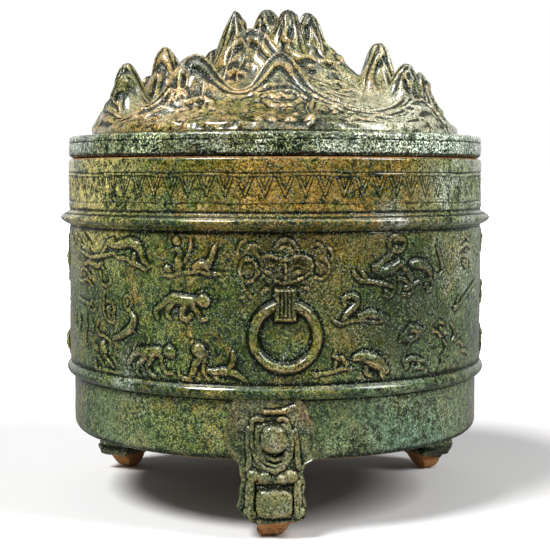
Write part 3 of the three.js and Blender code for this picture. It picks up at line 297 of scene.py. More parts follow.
# Small reliefs on the mountains, as strokes through [x, y, height above the flange, half width]
HILL_STROKES = strokes(
    4, left_loop=(-72, -18, 16.5, 1.2, -71.5, -25, 12, 1.2, -68, -38, 9, 1.1, -63.5, -48, 8, 1.1, -58.5, -51.5, 9.5,
    1, -53, -48, 14.5, 1), snail_shell=(-45.4, -55.3, 13.6, 1.3, -45.1, -52.7, 16.7, 1.25, -42.5, -52.4, 18.4, 1.2,
    -39.2, -53.1, 17.7, 1.15, -38, -55, 14.6, 1.1, -39.7, -57, 12, 1.05, -42.2, -56.3, 12.5, 1, -43.2, -54.8, 14.7,
    .95, -41.3, -54.1, 15.9, .9), snail_body=(-51.6, -56.6, 9.9, 1.3, -48.7, -56.3, 11.3, 1.23, -46, -57.3, 10.7,
    1.15, -42, -59.3, 9.8, 1.07, -38.5, -59.2, 10.5, 1), beast_back=(-37.3, -56.5, 12.8, 1.7, -34.3, -55.5, 14.4,
    1.55, -30.8, -55.7, 14.7, 1.4, -27.5, -57.8, 13.2, 1.25, -27.5, -62.7, 10.9, 1.1),
    beast_legs=(-34.3, -57.8, 12, .8, -34.3, -62.2, 10, .8),
    beast_legs2=(-30.7, -60, 11.5, .8, -29.5, -66.3, 9.4, .8), low_beast=(-35.5, -73.8, 6.2, 1.3, -31.3, -72.8, 7,
    1.17, -26.8, -76.7, 6.4, 1.03, -24, -80.7, 5.2, .9), low_wave=(-45, -67.3, 6.5, .9, -42.5, -73.7, 3.2, .87,
    -38.7, -77, 2, .83, -34.5, -77.7, 3.3, .8, -29.7, -79.5, 3.6, .77, -23.3, -81.8, 3.1, .73, -17.2, -82.8, 4.2,
    .7), low_wave2=(-61.5, -57.8, 4.6, .9, -55.3, -63.5, 5.1, .9, -50.7, -68.2, 3.5, .9, -46.7, -73.3, 2, .9),
    trough_fold=(-22.3, -69.5, 9.2, 1, -18.5, -78, 6.7, .93, -14.5, -76.3, 7.6, .87, -11.2, -68.2, 10.7, .8),
    trough_fold2=(-13.2, -72.2, 9.1, .8, -13.7, -83, 5.3, .7, -15, -84.2, 2.4, .6), recess_figure=(-20, -34.2, 27.1,
    1.6, -18.2, -33.2, 28.4, 1.4, -16.3, -33.3, 27.5, 1.2, -13.3, -32.9, 27.3, 1), recess_line=(-21.8, -32.8, 29.9,
    .8, -20, -30.9, 33, .77, -16.3, -29.7, 34.9, .73, -11.8, -28.3, 35.8, .7), recess_arch=(-12.5, -31.1, 30.6, .8,
    -10.3, -30.2, 31.8, .78, -7.7, -31.4, 30.5, .75, -7.5, -33, 28.5, .72, -9.5, -34.3, 25.8, .7), arch_left=(-7.3,
    -60.3, 13.9, 1.1, -8.2, -54.3, 17.2, 1.05, -6.3, -50.2, 20, 1, -2, -50.7, 21, .95, 3.2, -50.9, 20.8, .9),
    arch_right=(-5.6, -49.7, 20.7, 1, -1.2, -51.3, 20.2, .98, 3.8, -50.2, 22, .96, 8.8, -50.6, 20.4, .94, 11.8,
    -53.6, 17.3, .92, 12.7, -59.7, 14, .9), oval_top=(-4.8, -58.5, 14.8, 1.2, -2, -54.2, 17.2, 1.2, 2.3, -52.8,
    18.4, 1.2, 6.7, -53.6, 17.9, 1.2, 10.5, -57.1, 15.5, 1.2), oval_bottom=(-4.5, -61.7, 13.5, 1.3, -1.2, -67, 11.5,
    1.27, 3, -68, 11, 1.25, 7.2, -65.5, 11.9, 1.23, 10.8, -60, 13.9, 1.2),
    oval_body=(-1.2, -59, 14.7, 2.2, 3, -58.3, 14.9, 2.1, 7, -58.7, 14.7, 2), limbs_1=(14.9, -53.6, 18.3, 1.1, 16.7,
    -56.2, 16, 1.03, 19.2, -58.3, 14.4, .95, 18.3, -66.3, 10.8, .88, 17.2, -75.8, 7.5, .8),
    limbs_2=(15, -67.3, 10.7, .9, 16.5, -58.2, 14.1, .8, 18.3, -52.2, 17.4, .7),
    limbs_3=(19.2, -58.5, 14.1, .9, 20.3, -65.8, 10.8, .8, 19.7, -77.7, 6.8, .7), under_line=(-9.7, -70.3, 9.9, .8,
    -5.3, -75.7, 8.2, .77, -1.2, -78, 7.5, .73, 3.7, -75.8, 8.2, .7), silver_fold=(5.6, -21.9, 39.7, 1.6, 8.5,
    -24.8, 36.4, 1.52, 12.3, -26.4, 35.1, 1.44, 16.9, -26.2, 35.1, 1.36, 22.3, -17.1, 34.4, 1.28, 26.9, -17.8, 32.9,
    1.2), summit_fold=(3.4, -17.4, 44.6, 1.1, 3.8, -16.7, 47, 1.07, 6.3, -16.6, 47.7, 1.04, 9, -17.7, 45.8, 1.01,
    12.1, -15.1, 43.8, .99, 11.7, -18, 40.4, .96, 13.9, -15.8, 39.1, .93, 17.8, -14.3, 39, .9), summit_fold2=(-.3,
    -5, 52.1, 1.3, -1.2, -7.1, 48, 1.2, -.7, -15.5, 43.2, 1.1, 2.4, -18.6, 40.1, 1),
    scale_1=(16, -29.4, 30.9, 1, 19, -28.2, 31.7, .85, 21.8, -28.7, 30, .7),
    scale_2=(22.6, -29.1, 29.3, 1, 25.7, -28.2, 28.5, .85, 28.5, -21, 28.1, .7),
    scale_3=(16.7, -31.7, 26.4, 1, 19.7, -31.2, 27, .85, 23, -31.7, 25.5, .7), scale_4=(24.1, -32.4, 23.8, 1.3,
    27.9, -31.2, 23.8, 1.1, 31.7, -31, 21.7, .9),
    scale_5=(18.9, -37.2, 22.7, 1, 21.7, -37.4, 22, .85, 23.8, -39, 20.4, .7), scale_6=(29, -39.3, 18.9, 1.1, 33.7,
    -34.5, 19.1, .95, 38.8, -35.8, 17.2, .8), scale_7=(23.5, -46.5, 17.7, .9, 27.2, -48.7, 16, .87, 32.8, -49.2,
    14.6, .83, 39.8, -43.8, 14.5, .8), scale_8=(30.6, -20.5, 28.4, 1, 33.5, -21, 26.5, .9, 37.2, -14.5, 25.9, .8),
    right_fold=(60.1, -47.8, 11.8, 1.3, 64.6, -47.1, 11.2, 1.17, 70.7, -36.8, 10.5, 1.03, 74.7, -32.7, 8.1, .9),
    right_fold2=(54.1, -64.8, 4.5, 1.1, 59.1, -57.5, 7, 1, 64.1, -51.6, 7.3, .9, 67.9, -49.9, 5.2, .8),
    low_right=(23.8, -76.3, 6.8, .9, 30.5, -79, 4, .87, 39, -75.8, 2.7, .83, 49.5, -69.5, 2.6, .8))
# Round knobs and pits on the mountains: [x, y, height above the flange, radius]
HILL_KNOBS = table(
    4, -1.2, -81.5, 5, 1.9, 6.3, -81.3, 5, 2.2, 14.7, -80.2, 5, 2.4, 8.8, -75.7, 8.1, 1.5, 30.5, -7.7, 36.4, 1.8,
    21.1, -8.9, 42, 1.6, 67.4, -45.8, 5, 2, -14.6, -5.7, 52.6, 1.9, -56.9, 58.4, 5, 1.9, -7, -81.2, 5, 1.4, 26.9,
    -17.8, 32.9, 1.6, -18.5, -33.3, 28.2, 1.9, -60, -51, 7, 2)
HILL_PITS = table(
    4, 13.2, -58.6, 14.7, 2.2, 7.1, -16.7, 46.6, 1.6, 10.2, -14.1, 51.7, 1.3, -42, -55, 14.3, .9, -26.7, -66.3, 9.8,
    1.5, 3, -60.7, 14, .8, 22.9, -54.9, 15, 1.2)

# Stains, as [x, y, z, radius] in mm, share, and a tint, or none for ochre; some pale tints are painted highlights and
# sheens. Silver, as the share everywhere and on the crests, then [x, y, z, radius] in mm and share of each silvery
# place: partly silvery weathering and partly painted sheen.
JAR_STAINS_AND_SHEENS = [
    (4, -97, 112, 36, 1.1, .04, .036, .005), (20, -90, 148, 85, 1), (-30, -90, 125, 35, .9), (45, -85, 140, 40, .9),
    (-85, 40, 140, 50, .7), (20, 95, 110, 60, .7), (-88, -45, 158, 70, 1.3, .68, .58, .19),
    (4, -100, 160, 50, .75, .36, .205, .035), (56, -83, 97, 48, 1.5, .028, .05, .011),
    (0, -100, 20, 55, .6, .15, .24, .12), (-75, -65, 30, 55, .8, .14, .23, .11),
    # The pale tints at 132.5 mm and at 59 mm up, on the neck just over the upper band and on the lower band at the
    # left, are painted highlights.
    (62, -78, 30, 62, 1, .19, .32, .21), (50, -88, 132.5, 11, 1.2, .66, .7, .62),
    (-66, -77, 59, 10, 1, .45, .56, .42), (93, -30, 100, 50, .8, .18, .26, .12),
    (88, -45, 158, 60, 1.2, .34, .38, .18), (40, -88, 160, 45, .8, .26, .15, .02),
    (0, 100, 30, 90, .5, .14, .22, .12)]
JAR_SILVER_AND_SHEEN = (
    # The silvery places at 139 mm and at 63 mm up, over the upper band and on the lower band, are painted sheens; the
    # one at 73.5 mm, low inside the ring, is partly a painted highlight; the broad one on the right is silvery
    # weathering with a painted sheen.
    .02, .04, (4.5, -97, 73.5, 6, 3), (77, -60, 139, 20, 1.8), (-60, -79, 63, 18, 1.8), (100, -40, 130, 75, .9),
    (-105, -20, 100, 60, .35), (90, 60, 110, 70, .4))
FOOT_STAINS = [
    (0, -100, 53, 10, .9), (.2, -103.5, 40.5, 3.5, 1.8, .7, .22, .07), (-15, -95, 52, 15, 1.4, .17, .15, .05),
    (15, -95, 54, 13, 1.2, .22, .14, .05), (84, 48, 12, 26, 1.6, .012, .02, .008),
    (-84, 48, 12, 26, 1.6, .012, .02, .008)]
FOOT_SILVER_AND_SHEEN = (
    # The silvery place on the front bear's face, 42 mm up, is partly a painted highlight.
    .16, .35, (1, -105, 42, 12, 1.2), (0, -105, 26, 14, .7), (0, -105, 14, 12, .4))
HILL_SPOTS = [
    (2, -41, 205, 10), (-10.5, -23, 216.5, 11), (-36, -48, 198, 9), (-29, -50, 194, 7), (-69, -9, 205, 6),
    (-19, -6, 228, 7), (-4, 0, 228, 8), (6.5, -11, 227, 8), (16, -4, 227, 7), (48, -13, 213, 6), (60, -21, 202, 6),
    (10, -52, 190, 10)]
HILL_STAINS_AND_SHEEN = [
    (55, -55, 175, 35, .8), (-50, -50, 185, 60, .9), (-20, -100, 163, 60, .9), (0, 60, 190, 50, .6),
    *((*spot, 1.5, .02, .032, .014) for spot in HILL_SPOTS),
    # The pale tint on the mountains' right is partly a painted sheen.
    (62, -55, 168, 65, 1.5, .54, .53, .36), (-70, -20, 195, 30, .8, .2, .24, .1)]
HILL_SILVER_AND_SHEEN = (
    # The silvery place on the right is partly a painted sheen.
    .05, .15, (75, -30, 180, 85, .8), (-45, -60, 178, 20, .7), (-35, -45, 205, 12, .7))
RIM_STAINS_AND_SHEEN = [
    (55, -85, 163, 30, .6), (-30, -100, 163, 30, .5), (-10, -100, 158.5, 60, 1, .11, .115, .035),
    # The pale tint on the rim's right is partly a painted sheen.
    (85, -60, 160, 90, 1.2, .44, .54, .42), (-95, -40, 160, 30, .9, .3, .44, .33)]
RIM_SILVER_AND_SHEEN = (
    # The silvery place on the rim's right is partly a painted sheen.
    .7, .3, (85, -60, 160, 90, 1), (-85, -60, 160, 30, .5))


class JarSizes(bpy.types.PropertyGroup):
    """Sizes of the jar's wall, bands and incised lines"""
    wall_radius: FloatProperty(
        name="Wall radius", description="Outside of the frieze", subtype="DISTANCE",
        default=WALL_HIGH[0] - UPPER_PROUD * MM)
    wall_thickness: FloatProperty(
        name="Wall thickness", description="Wall of the jar", subtype="DISTANCE", default=0.007)
    base_inset: FloatProperty(
        name="Base inset", description="How much slimmer the base zone is", subtype="DISTANCE", default=0.0019)
    lower_band: FloatProperty(
        name="Lower band", description="Height of its lower edge", subtype="DISTANCE", default=0.0587)
    lower_band_width: FloatProperty(
        name="Lower band width", description="Height of the lower band", subtype="DISTANCE", default=0.005)
    frieze_height: FloatProperty(
        name="Frieze height", description="Between the two bands", subtype="DISTANCE", default=0.064)
    upper_band_width: FloatProperty(
        name="Upper band width", description="Height of the upper band", subtype="DISTANCE", default=0.006)
    chevrons: IntProperty(
        name="Chevrons", description="Incised chevrons round the neck", default=75)
    incision: FloatProperty(
        name="Incision depth", description="Depth of the incised lines", subtype="DISTANCE", default=0.0005)
    figure_rise: FloatProperty(
        name="Figure rise", description="How far a figure stands out for its half width", default=0.95)


class LidSizes(bpy.types.PropertyGroup):
    """Sizes of the lid's mountains"""
    toe_radius: FloatProperty(
        name="Toe radius", description="Foot of the mountains on the flange", subtype="DISTANCE",
        default=HILLS_HIGH[0])
    cone_height: FloatProperty(
        name="Cone height", description="Cone that the ridges stand on", subtype="DISTANCE", default=0.038)
    shell: FloatProperty(
        name="Shell", description="Wall between the cone's top and its hollow", subtype="DISTANCE", default=0.004)
    hollow_margin: FloatProperty(
        name="Hollow margin", description="From the toe in to the hollow", subtype="DISTANCE", default=0.0129)


class GlazeColours(bpy.types.PropertyGroup):
    """Colours of the glaze and the clay"""
    pooled: FloatVectorProperty(
        name="Pooled", description="Glaze lying deep in a recess", subtype="COLOR", default=(0.007, 0.014, 0.004))
    green: FloatVectorProperty(
        name="Green", description="Deep green glaze", subtype="COLOR", default=(0.032, 0.078, 0.011))
    olive: FloatVectorProperty(
        name="Olive", description="Glaze of usual depth", subtype="COLOR", default=(0.155, 0.192, 0.034))
    ochre: FloatVectorProperty(
        name="Ochre", description="Glaze stained by the clay under it", subtype="COLOR",
        default=(0.330, 0.180, 0.014))
    amber: FloatVectorProperty(
        name="Amber", description="Thin glaze on rims and crests", subtype="COLOR", default=(0.640, 0.460, 0.190))
    # Used both for the glaze's silvery weathering and for painted sheens and highlights.
    silver: FloatVectorProperty(
        name="Silver", description="Weathered, silvery skin", subtype="COLOR", default=(0.58, 0.64, 0.52))
    clay: FloatVectorProperty(
        name="Clay", description="Bare earthenware", subtype="COLOR", default=(0.600, 0.260, 0.090))


# Number fields

def blurred(field, reach, wrap):
    """The mean of a field over a box of 2 * reach + 1 cells each way, taken twice; columns wrap round if asked."""
    for _ in range(2):
        for axis in (0, 1):
            mode = "wrap" if axis == 1 and wrap else "edge"
            width = [(reach + 1, reach) if i == axis else (0, 0) for i in (0, 1)]
            total = np.cumsum(np.pad(field, width, mode=mode), axis=axis)
            high = np.take(total, np.arange(2 * reach + 1, total.shape[axis]), axis=axis)
            low = np.take(total, np.arange(0, total.shape[axis] - 2 * reach - 1), axis=axis)
            field = (high - low) / (2 * reach + 1)
    return field


def softened(field, wrap):
    """A field mixed in equal parts with its mean over the nearest cells."""
    return 0.5 * field + 0.5 * blurred(field, 1, wrap)


def lumps(across, up, cells, rows, seed):
    """Smooth noise from -1 to 1: a seeded lattice that wraps round across 0..1, blended by a cubic step."""
    lattice = np.random.default_rng(seed).uniform(-1, 1, (rows + 2, cells))
    x = np.mod(across, 1) * cells
    y = np.clip(up, 0, 1) * rows
    column, row = np.floor(x).astype(int), np.floor(y).astype(int)
    fx, fy = x - column, y - row
    fx, fy = fx * fx * (3 - 2 * fx), fy * fy * (3 - 2 * fy)
    left, right = column % cells, (column + 1) % cells
    low = lattice[row, left] * (1 - fx) + lattice[row, right] * fx
    high = lattice[row + 1, left] * (1 - fx) + lattice[row + 1, right] * fx
    return low * (1 - fy) + high * fy


def layered_lumps(across, up, cells, rows, seed, layers=3):
    """Several octaves of the smooth noise, each twice as fine and half as high as the last."""
    total = sum(lumps(across, up, cells * 2 ** i, rows * 2 ** i, seed + i) / 2 ** i for i in range(layers))
    return total / 1.6


def bell(away, width):
    """One at nothing away, falling off as exp(-(away / width)^2)."""
    return np.exp(-(away / width) ** 2)


def ramp(value, width):
    """The share of a width that a value has reached, from 0 to 1."""
    return np.clip(value / width, 0, 1)


def box_near(x, y, points, reach):
    """Where a grid lies within reach of the box round some points."""
    low, high = points.min(axis=0) - reach, points.max(axis=0) + reach
    return (x > low[0]) & (x < high[0]) & (y > low[1]) & (y < high[1])


def stroke_relief(place, drawn, rise, power):
    """Rounded relief of tapered strokes, on a plane or lying in space: at a distance d from a stroke of half width w
    the height is rise * w^power * sqrt(1 - (d / 1.12w)^2.6), and strokes that meet are joined by the fourth root of
    the sum of their fourth powers."""
    powers = np.zeros_like(place[0])
    for stroke in drawn:
        for start, end in zip(stroke[:-1], stroke[1:]):
            near = box_near(*place[:2], np.stack([start, end]), 1.3 * max(start[-1], end[-1]))
            if not near.any():
                continue
            way = end - start
            given = [values[near] - value for values, value in zip(place, start)]
            length = max((way[:-1] ** 2).sum(), 1e-9)
            share = np.clip(sum(values * step for values, step in zip(given, way)) / length, 0, 1)
            width = start[-1] + way[-1] * share
            away = np.sqrt(sum((values - share * step) ** 2 for values, step in zip(given, way))) / (1.12 * width)
            powers[near] += (rise * width ** power * np.sqrt(np.clip(1 - away ** 2.6, 0, 1))) ** 4
    return powers ** 0.25


# Meshes

def whole_turn(columns):
    """Evenly spaced angles round the axis, as one row."""
    return np.linspace(0, 2 * math.pi, columns, endpoint=False)[None, :]


def around(radius, angle, height):
    """Points of [radius, angle from the front, height]."""
    radius, angle, height = np.broadcast_arrays(radius, angle, height)
    return np.stack([radius * np.sin(angle), -radius * np.cos(angle), height], axis=-1)


def each(fields, change):
    """The number fields, each changed in the same way."""
    return {key: change(values) for key, values in fields.items()}


def surface_normals(points, wrap_rows):
    """Normals of a grid that wraps across: the cross product of its steps across and up."""
    across = np.roll(points, -1, axis=1) - np.roll(points, 1, axis=1)
    if wrap_rows:
        up = np.roll(points, -1, axis=0) - np.roll(points, 1, axis=0)
    else:
        up = np.gradient(points, axis=0)
    normals = np.cross(across, up)
    return normals / np.maximum(np.linalg.norm(normals, axis=2, keepdims=True), 1e-12)


def ring_faces(rows, columns, wrap_rows):
    """Corner numbers of the quads of a grid that wraps across, and also up if asked."""
    row = np.arange(rows if wrap_rows else rows - 1)[:, None]
    column = np.arange(columns)[None, :]
    next_row, next_column = (row + 1) % rows, (column + 1) % columns
    corners = [row * columns + column, row * columns + next_column,
               next_row * columns + next_column, next_row * columns + column]
    return np.stack([np.broadcast_to(c, (row.size, columns)) for c in corners], axis=-1).reshape(-1, 4)


def put_in_scene(name, data):
    """A new object in the scene for a mesh, a light or a camera."""
    thing = bpy.data.objects.new(name, data)
    bpy.context.scene.collection.objects.link(thing)
    return thing


def make_piece(name, points, quads, normals, fields, body, slot, nodes, material, fans=()):
    """A smooth mesh from points in millimetres, quads and fans of triangles, with number fields kept per point."""
    mesh = bpy.data.meshes.new(name)
    triangles = np.concatenate([np.zeros((0, 3), int), *fans])
    mesh.vertices.add(len(points))
    mesh.vertices.foreach_set("co", (points * MM).astype(np.float32).ravel())
    loops = np.concatenate([quads.ravel(), triangles.ravel()])
    starts = np.concatenate([np.arange(len(quads)) * 4, len(quads) * 4 + np.arange(len(triangles)) * 3])
    mesh.loops.add(len(loops))
    mesh.loops.foreach_set("vertex_index", loops.astype(np.int32))
    mesh.polygons.add(len(starts))
    mesh.polygons.foreach_set("loop_start", starts.astype(np.int32))
    mesh.update(calc_edges=True)
    mesh.polygons.foreach_set("use_smooth", np.ones(len(starts), bool))
    for key, values in fields.items():
        mesh.attributes.new(key, "FLOAT", "POINT").data.foreach_set("value", values.astype(np.float32).ravel())
    mesh.normals_split_custom_set_from_vertices(normals.tolist())
    mesh.materials.append(material)
    piece = put_in_scene(name, mesh)
    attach(piece, body)
    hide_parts(*nodes)


def closed_ring(name, outer, inner, outer_normals, fields, **where):
    """A ring from outer rows going up and inner rows going down, joined to each other at both ends."""
    points = np.concatenate([outer, inner])
    normals = surface_normals(points, True)
    normals[:len(outer)] = outer_normals
    filled = each(fields, lambda values: np.concatenate([values, np.zeros(inner.shape[:2])]))
    faces = ring_faces(*points.shape[:2], True)
    make_piece(name, points.reshape(-1, 3), faces, normals.reshape(-1, 3), filled, **where)


def closed_disc(name, points, normals, fields, **where):
    """A body of turned rows from one point on the axis to another, with a fan of triangles at each end."""
    def joined(grid):
        return np.concatenate([grid[1:-1].reshape(-1, *grid.shape[2:]), grid[0, :1], grid[-1, :1]])
    rows, columns = points.shape[:2]
    column = np.arange(columns)
    first = (rows - 2) * columns
    low = np.stack([np.full(columns, first), (column + 1) % columns, column], axis=1)
    top_row = (rows - 3) * columns
    high = np.stack([np.full(columns, first + 1), top_row + column, top_row + (column + 1) % columns], axis=1)
    faces = ring_faces(rows - 2, columns, False)
    make_piece(name, joined(points), faces, joined(normals), each(fields, joined), fans=(low, high), **where)


def glaze_fields(relief, fine, broad, wrap, deep=0.12):
    """Sharp crests, and how much lower than its surroundings each point lies, near and far."""
    sharp = relief - blurred(relief, 1, wrap)
    near = blurred(relief, fine, wrap) - relief
    far = blurred(relief, broad, wrap) - relief
    # The far field darkens the glaze in broad recesses: partly deeper glaze, partly painted shade.
    return {"rim": ramp(sharp, 0.07), "hollow": np.clip(near / deep, -1, 1), "shade": np.clip(far / 0.6, -1, 1)}


def runoff(relief, heights, fields, kept):
    """Glaze that ran down before it set: it pools just above the relief and drains off the relief's lower edges."""
    slope = np.gradient(relief, axis=0) / np.gradient(heights)[:, None]
    pooled = np.roll(np.clip(-slope / 1.2 - 0.15, 0, 0.8), 2, axis=0)
    fields["hollow"] = np.maximum(fields["hollow"] - 0.3 * np.clip(slope / 0.7, 0, 1), pooled)
    fields["rim"] = np.maximum(kept * fields["rim"], np.clip(slope / 0.55, 0, 1))


# Shapes of the jar

def figure_strokes(name, turn, row_height, bottom):
    """A figure's strokes in millimetres round the wall and up it."""
    per_degree = math.pi / 180 * bpy.context.scene.censer_jar.wall_radius / MM
    return [np.stack([(x + turn) * per_degree, bottom + z * row_height, w * row_height], axis=1)
            for x, z, w in (stroke.T for stroke in FIGURES[name])]


def mask_relief(x, z):
    """Height of the mask and its ring at points measured from the mask's middle and the ground."""
    plates = stroke_relief((x, z - MASK_HEIGHT), MASK_PLATES, 0.16, 0.8)
    relief = plates + stroke_relief((x, z - MASK_HEIGHT), MASK_STROKES, 0.7, 0.8)
    away = np.abs(np.hypot(x, z - RING_HEIGHT) - RING_MIDDLE) / RING_HALF
    return np.maximum(relief, 1.35 * RING_HALF * np.sqrt(np.clip(1 - away ** 2.2, 0, 1)))


def strap_relief(x, z):
    """Height of the ribbed strap that holds the ring: ribs of 1.5 mm, with a cross groove near its lower end."""
    up = z - MASK_HEIGHT
    wide = ramp(4.5 - np.abs(x), 0.8)
    high = ramp(up + 22.2, 0.8) * ramp(-8.6 - up, 1.2)
    ribs = 2.5 + 0.45 * np.cos(2 * math.pi * x / 1.5) * (up > -20.4) - 0.6 * bell(up + 20.6, 0.4)
    return ribs * np.sqrt(wide * high)


def chevron_depth(x, z, pitch, top):
    """Depth, 0 to 1, of the double lines and of the double chevrons that hang below them."""
    along = np.mod(x, pitch) - pitch / 2
    below = top - z
    height = 9.0
    depth = bell(below, 0.3) + bell(below - 1.5, 0.26)
    inside = (below > 1.5) & (below < 1.6 + height)
    slant = math.hypot(1, 2 * height / pitch)
    for shrink in (0, 1.5):
        half = (pitch / 2 - 0.35) * (1 - (below - 1.5) / height) - shrink
        distance = np.abs(np.abs(along) - half) / slant * 1.9
        depth = depth + inside * (half > -0.15) * bell(distance, 0.3)
    stem = inside * bell(along, 0.25) * (below < 6) * 0.7
    return np.clip(depth + stem + 0.5 * bell(below - 12.6, 0.3), 0, 1)


def jar_heights(sizes):
    """Heights of the wall's rows, close together where the surface is busy, and the rows where pieces meet."""
    bottom, lip = WALL_LOW[2] / MM, WALL_HIGH[2] / MM
    low = sizes.lower_band / MM
    frieze = low + sizes.lower_band_width / MM
    band = frieze + sizes.frieze_height / MM
    neck = band + sizes.upper_band_width / MM
    spans = [(bottom, low, 30), (low, frieze, 14), (frieze, frieze + 21, 50), (frieze + 21, frieze + 42, 50),
             (frieze + 42, band, 50), (band, neck, 16), (neck, lip - 1.5, 46), (lip - 1.5, lip, 6)]
    heights = [np.linspace(a, b, n, endpoint=False) for a, b, n in spans] + [np.array([lip])]
    ends = np.cumsum([0] + [n for _, _, n in spans])
    return np.concatenate(heights), ends, (low, frieze, band, neck, lip, bottom)


def wall_profile(z, sizes, radius, levels):
    """Radius of the plain wall: the frieze's, less the base's inset and a rounded corner, plus two round bands."""
    low, frieze, band, neck, lip, bottom = levels
    corner, rounding = 5.0, 1.5
    profile = np.full_like(z, radius)
    profile -= sizes.base_inset / MM * (z < low)
    drop = np.clip(bottom + corner - z, 0, corner)
    profile -= corner - np.sqrt(corner ** 2 - drop ** 2)
    for start, width, proud in ((low, sizes.lower_band_width / MM, LOWER_PROUD),
                                (band, sizes.upper_band_width / MM, UPPER_PROUD)):
        profile += (proud - CLEARANCE) * np.sin(math.pi * ramp(z - start, width)) ** 0.8
    return profile - rounding * (1 - np.sqrt(1 - ramp(z - (lip - rounding), rounding) ** 2))


def wall_figures(x, z, sizes, frieze, circle):
    """Relief of the frieze, where every figure stands in front and behind, and some at the sides."""
    row_height = sizes.frieze_height / MM / FRIEZE_ROWS
    relief = np.zeros_like(z)
    placed = [(name, turn) for name in FIGURES for turn in (0, 180)] + list(SIDE_FIGURES.values())
    for name, turn in placed:
        for shift in (0, -circle):
            moved = [stroke + (shift, 0, 0) for stroke in figure_strokes(name, turn, row_height, frieze)]
            if any((np.abs(stroke[:, 0]) <= circle / 2 + 12).any() for stroke in moved):
                relief = np.maximum(relief, stroke_relief((x, z), moved, sizes.figure_rise, 0.8))
    return relief


def wall_surface(sizes):
    """The jar's outside: a turned profile, plus figures, mask and ring, less incised lines, plus hand-made waves."""
    heights, ends, levels = jar_heights(sizes)
    low, frieze, band, neck, lip, bottom = levels
    angle = whole_turn(WALL_COLUMNS)
    z = heights[:, None] + 0 * angle
    radius = sizes.wall_radius / MM
    x = (np.mod(angle + math.pi, 2 * math.pi) - math.pi) * radius + 0 * z
    circle = 2 * math.pi * radius
    profile = wall_profile(z, sizes, radius, levels)
    relief = wall_figures(x, z, sizes, frieze, circle) * ((z > frieze) & (z < band))
    centred = [np.mod(x - math.radians(turn) * radius + circle / 2, circle) - circle / 2
               for turn in (MASK_DEGREES, MASK_DEGREES + 180)]
    on_mask = np.zeros_like(z)
    for across in centred:
        relief = np.maximum(relief, mask_relief(across, z))
        on_mask += (np.abs(across) < 22) * (z > MASK_HEIGHT - 10) * (z < band - 2)
    place = (angle / (2 * math.pi) + 0 * z, (z - bottom) / (lip - bottom))
    relief += np.clip(relief, 0, 1) * 0.30 * layered_lumps(*place, 220, 46, 11)
    relief = softened(relief, True)
    for across in centred:
        relief = np.maximum(relief, strap_relief(across, z))
    zone = ramp(z - frieze - 1, 2) * ramp(band - 1 - z, 2)
    ground = 0.22 * layered_lumps(*place, 30, 12, 5) + 0.10 * zone * layered_lumps(*place, 150, 32, 8)
    cut = chevron_depth(x + 0.35 * lumps(*place, 60, 4, 21), z + 0.22 * lumps(*place, 40, 3, 22),
                        circle / sizes.chevrons, neck + 17.2)
    cut *= 0.75 + 0.25 * lumps(*place, 90, 8, 23)
    grooves = sum(bell(z - at, 0.45) for at in (band - 0.9, neck + 1.0, low - 0.9, frieze + 0.7, neck - 1.0))
    lines = cut + 0.9 * grooves * (0.85 + 0.3 * lumps(*place, 70, 9, 31))
    surface = relief + ground - sizes.incision / MM * lines
    surface = np.minimum(surface, WALL_HIGH[0] / MM - 0.02 - profile)
    fields = glaze_fields(relief - 0.55 * lines, 2, 7, True)
    fields["hollow"] *= 0.75 + 0.15 * on_mask - 0.1 * (z > neck + 1)
    # Dark glaze lines along the bands, the bottom edge and the foot of the neck: glaze pooled in the grooves and
    # corners, with painted shade under the bands and along the rounded bottom edge.
    for at, width in ((band - 1.1, 1.2), (frieze + 1.2, 1.3), (low - 0.7, 0.6), (bottom + 1.6, 1.5), (neck + 0.9, 0.9)):
        pool = bell(z - at, width) * (0.75 + 0.5 * layered_lumps(*place, 60, 20, 41))
        fields["hollow"] = np.maximum(fields["hollow"], 0.75 * pool)
    # The bands' own glaze is a deeper, darker green, added to the field of broad recesses.
    on_bands = (z > band) * (z < neck) + (z > low) * (z < frieze)
    fields["shade"] = np.clip(fields["shade"] + 0.7 * on_bands, -1, 1.5)
    runoff(relief, heights, fields, 0.35 + 0.35 * on_mask)
    fields["bare"] = 0.8 * ramp(z - (lip - 0.5), 0.3) + ramp(bottom + 1.0 - z, 0.8)
    points = around(profile + surface, angle, z)
    return points, surface_normals(points, False), fields, ends, heights


def build_jar():
    """The wall in rings, each closed by its stretch of the inner wall, so that no piece is too fine to keep whole."""
    sizes = bpy.context.scene.censer_jar
    points, normals, fields, ends, heights = wall_surface(sizes)
    bore = (sizes.wall_radius - sizes.wall_thickness) / MM
    figures = [f"{side}_{name}" for name in FIGURES for side in ("front", "back")] + list(SIDE_FIGURES)
    handles = ["mask_front", "ring_front", "mask_back", "ring_back"]
    material = jar_glaze()
    for name, first, last, nodes in (
            ("jar_base", 0, 2, ["jar_wall"]), ("jar_frieze_low", 2, 3, ["ring_front", "ring_back"]),
            ("jar_frieze_middle", 3, 4, ["jar_wall"]), ("jar_frieze_high", 4, 5, figures + handles),
            ("jar_band", 5, 6, ["jar_wall"]), ("jar_neck", 6, 8, ["jar_wall"])):
        rows = slice(ends[first], ends[last] + 1)
        levels = np.linspace(heights[ends[last]], heights[ends[first]], 4)[:, None]
        closed_ring(name, points[rows], around(bore, whole_turn(WALL_COLUMNS), levels), normals[rows],
                    each(fields, lambda values: values[rows]), body="jar", slot="jar_glaze", nodes=nodes,
                    material=material)


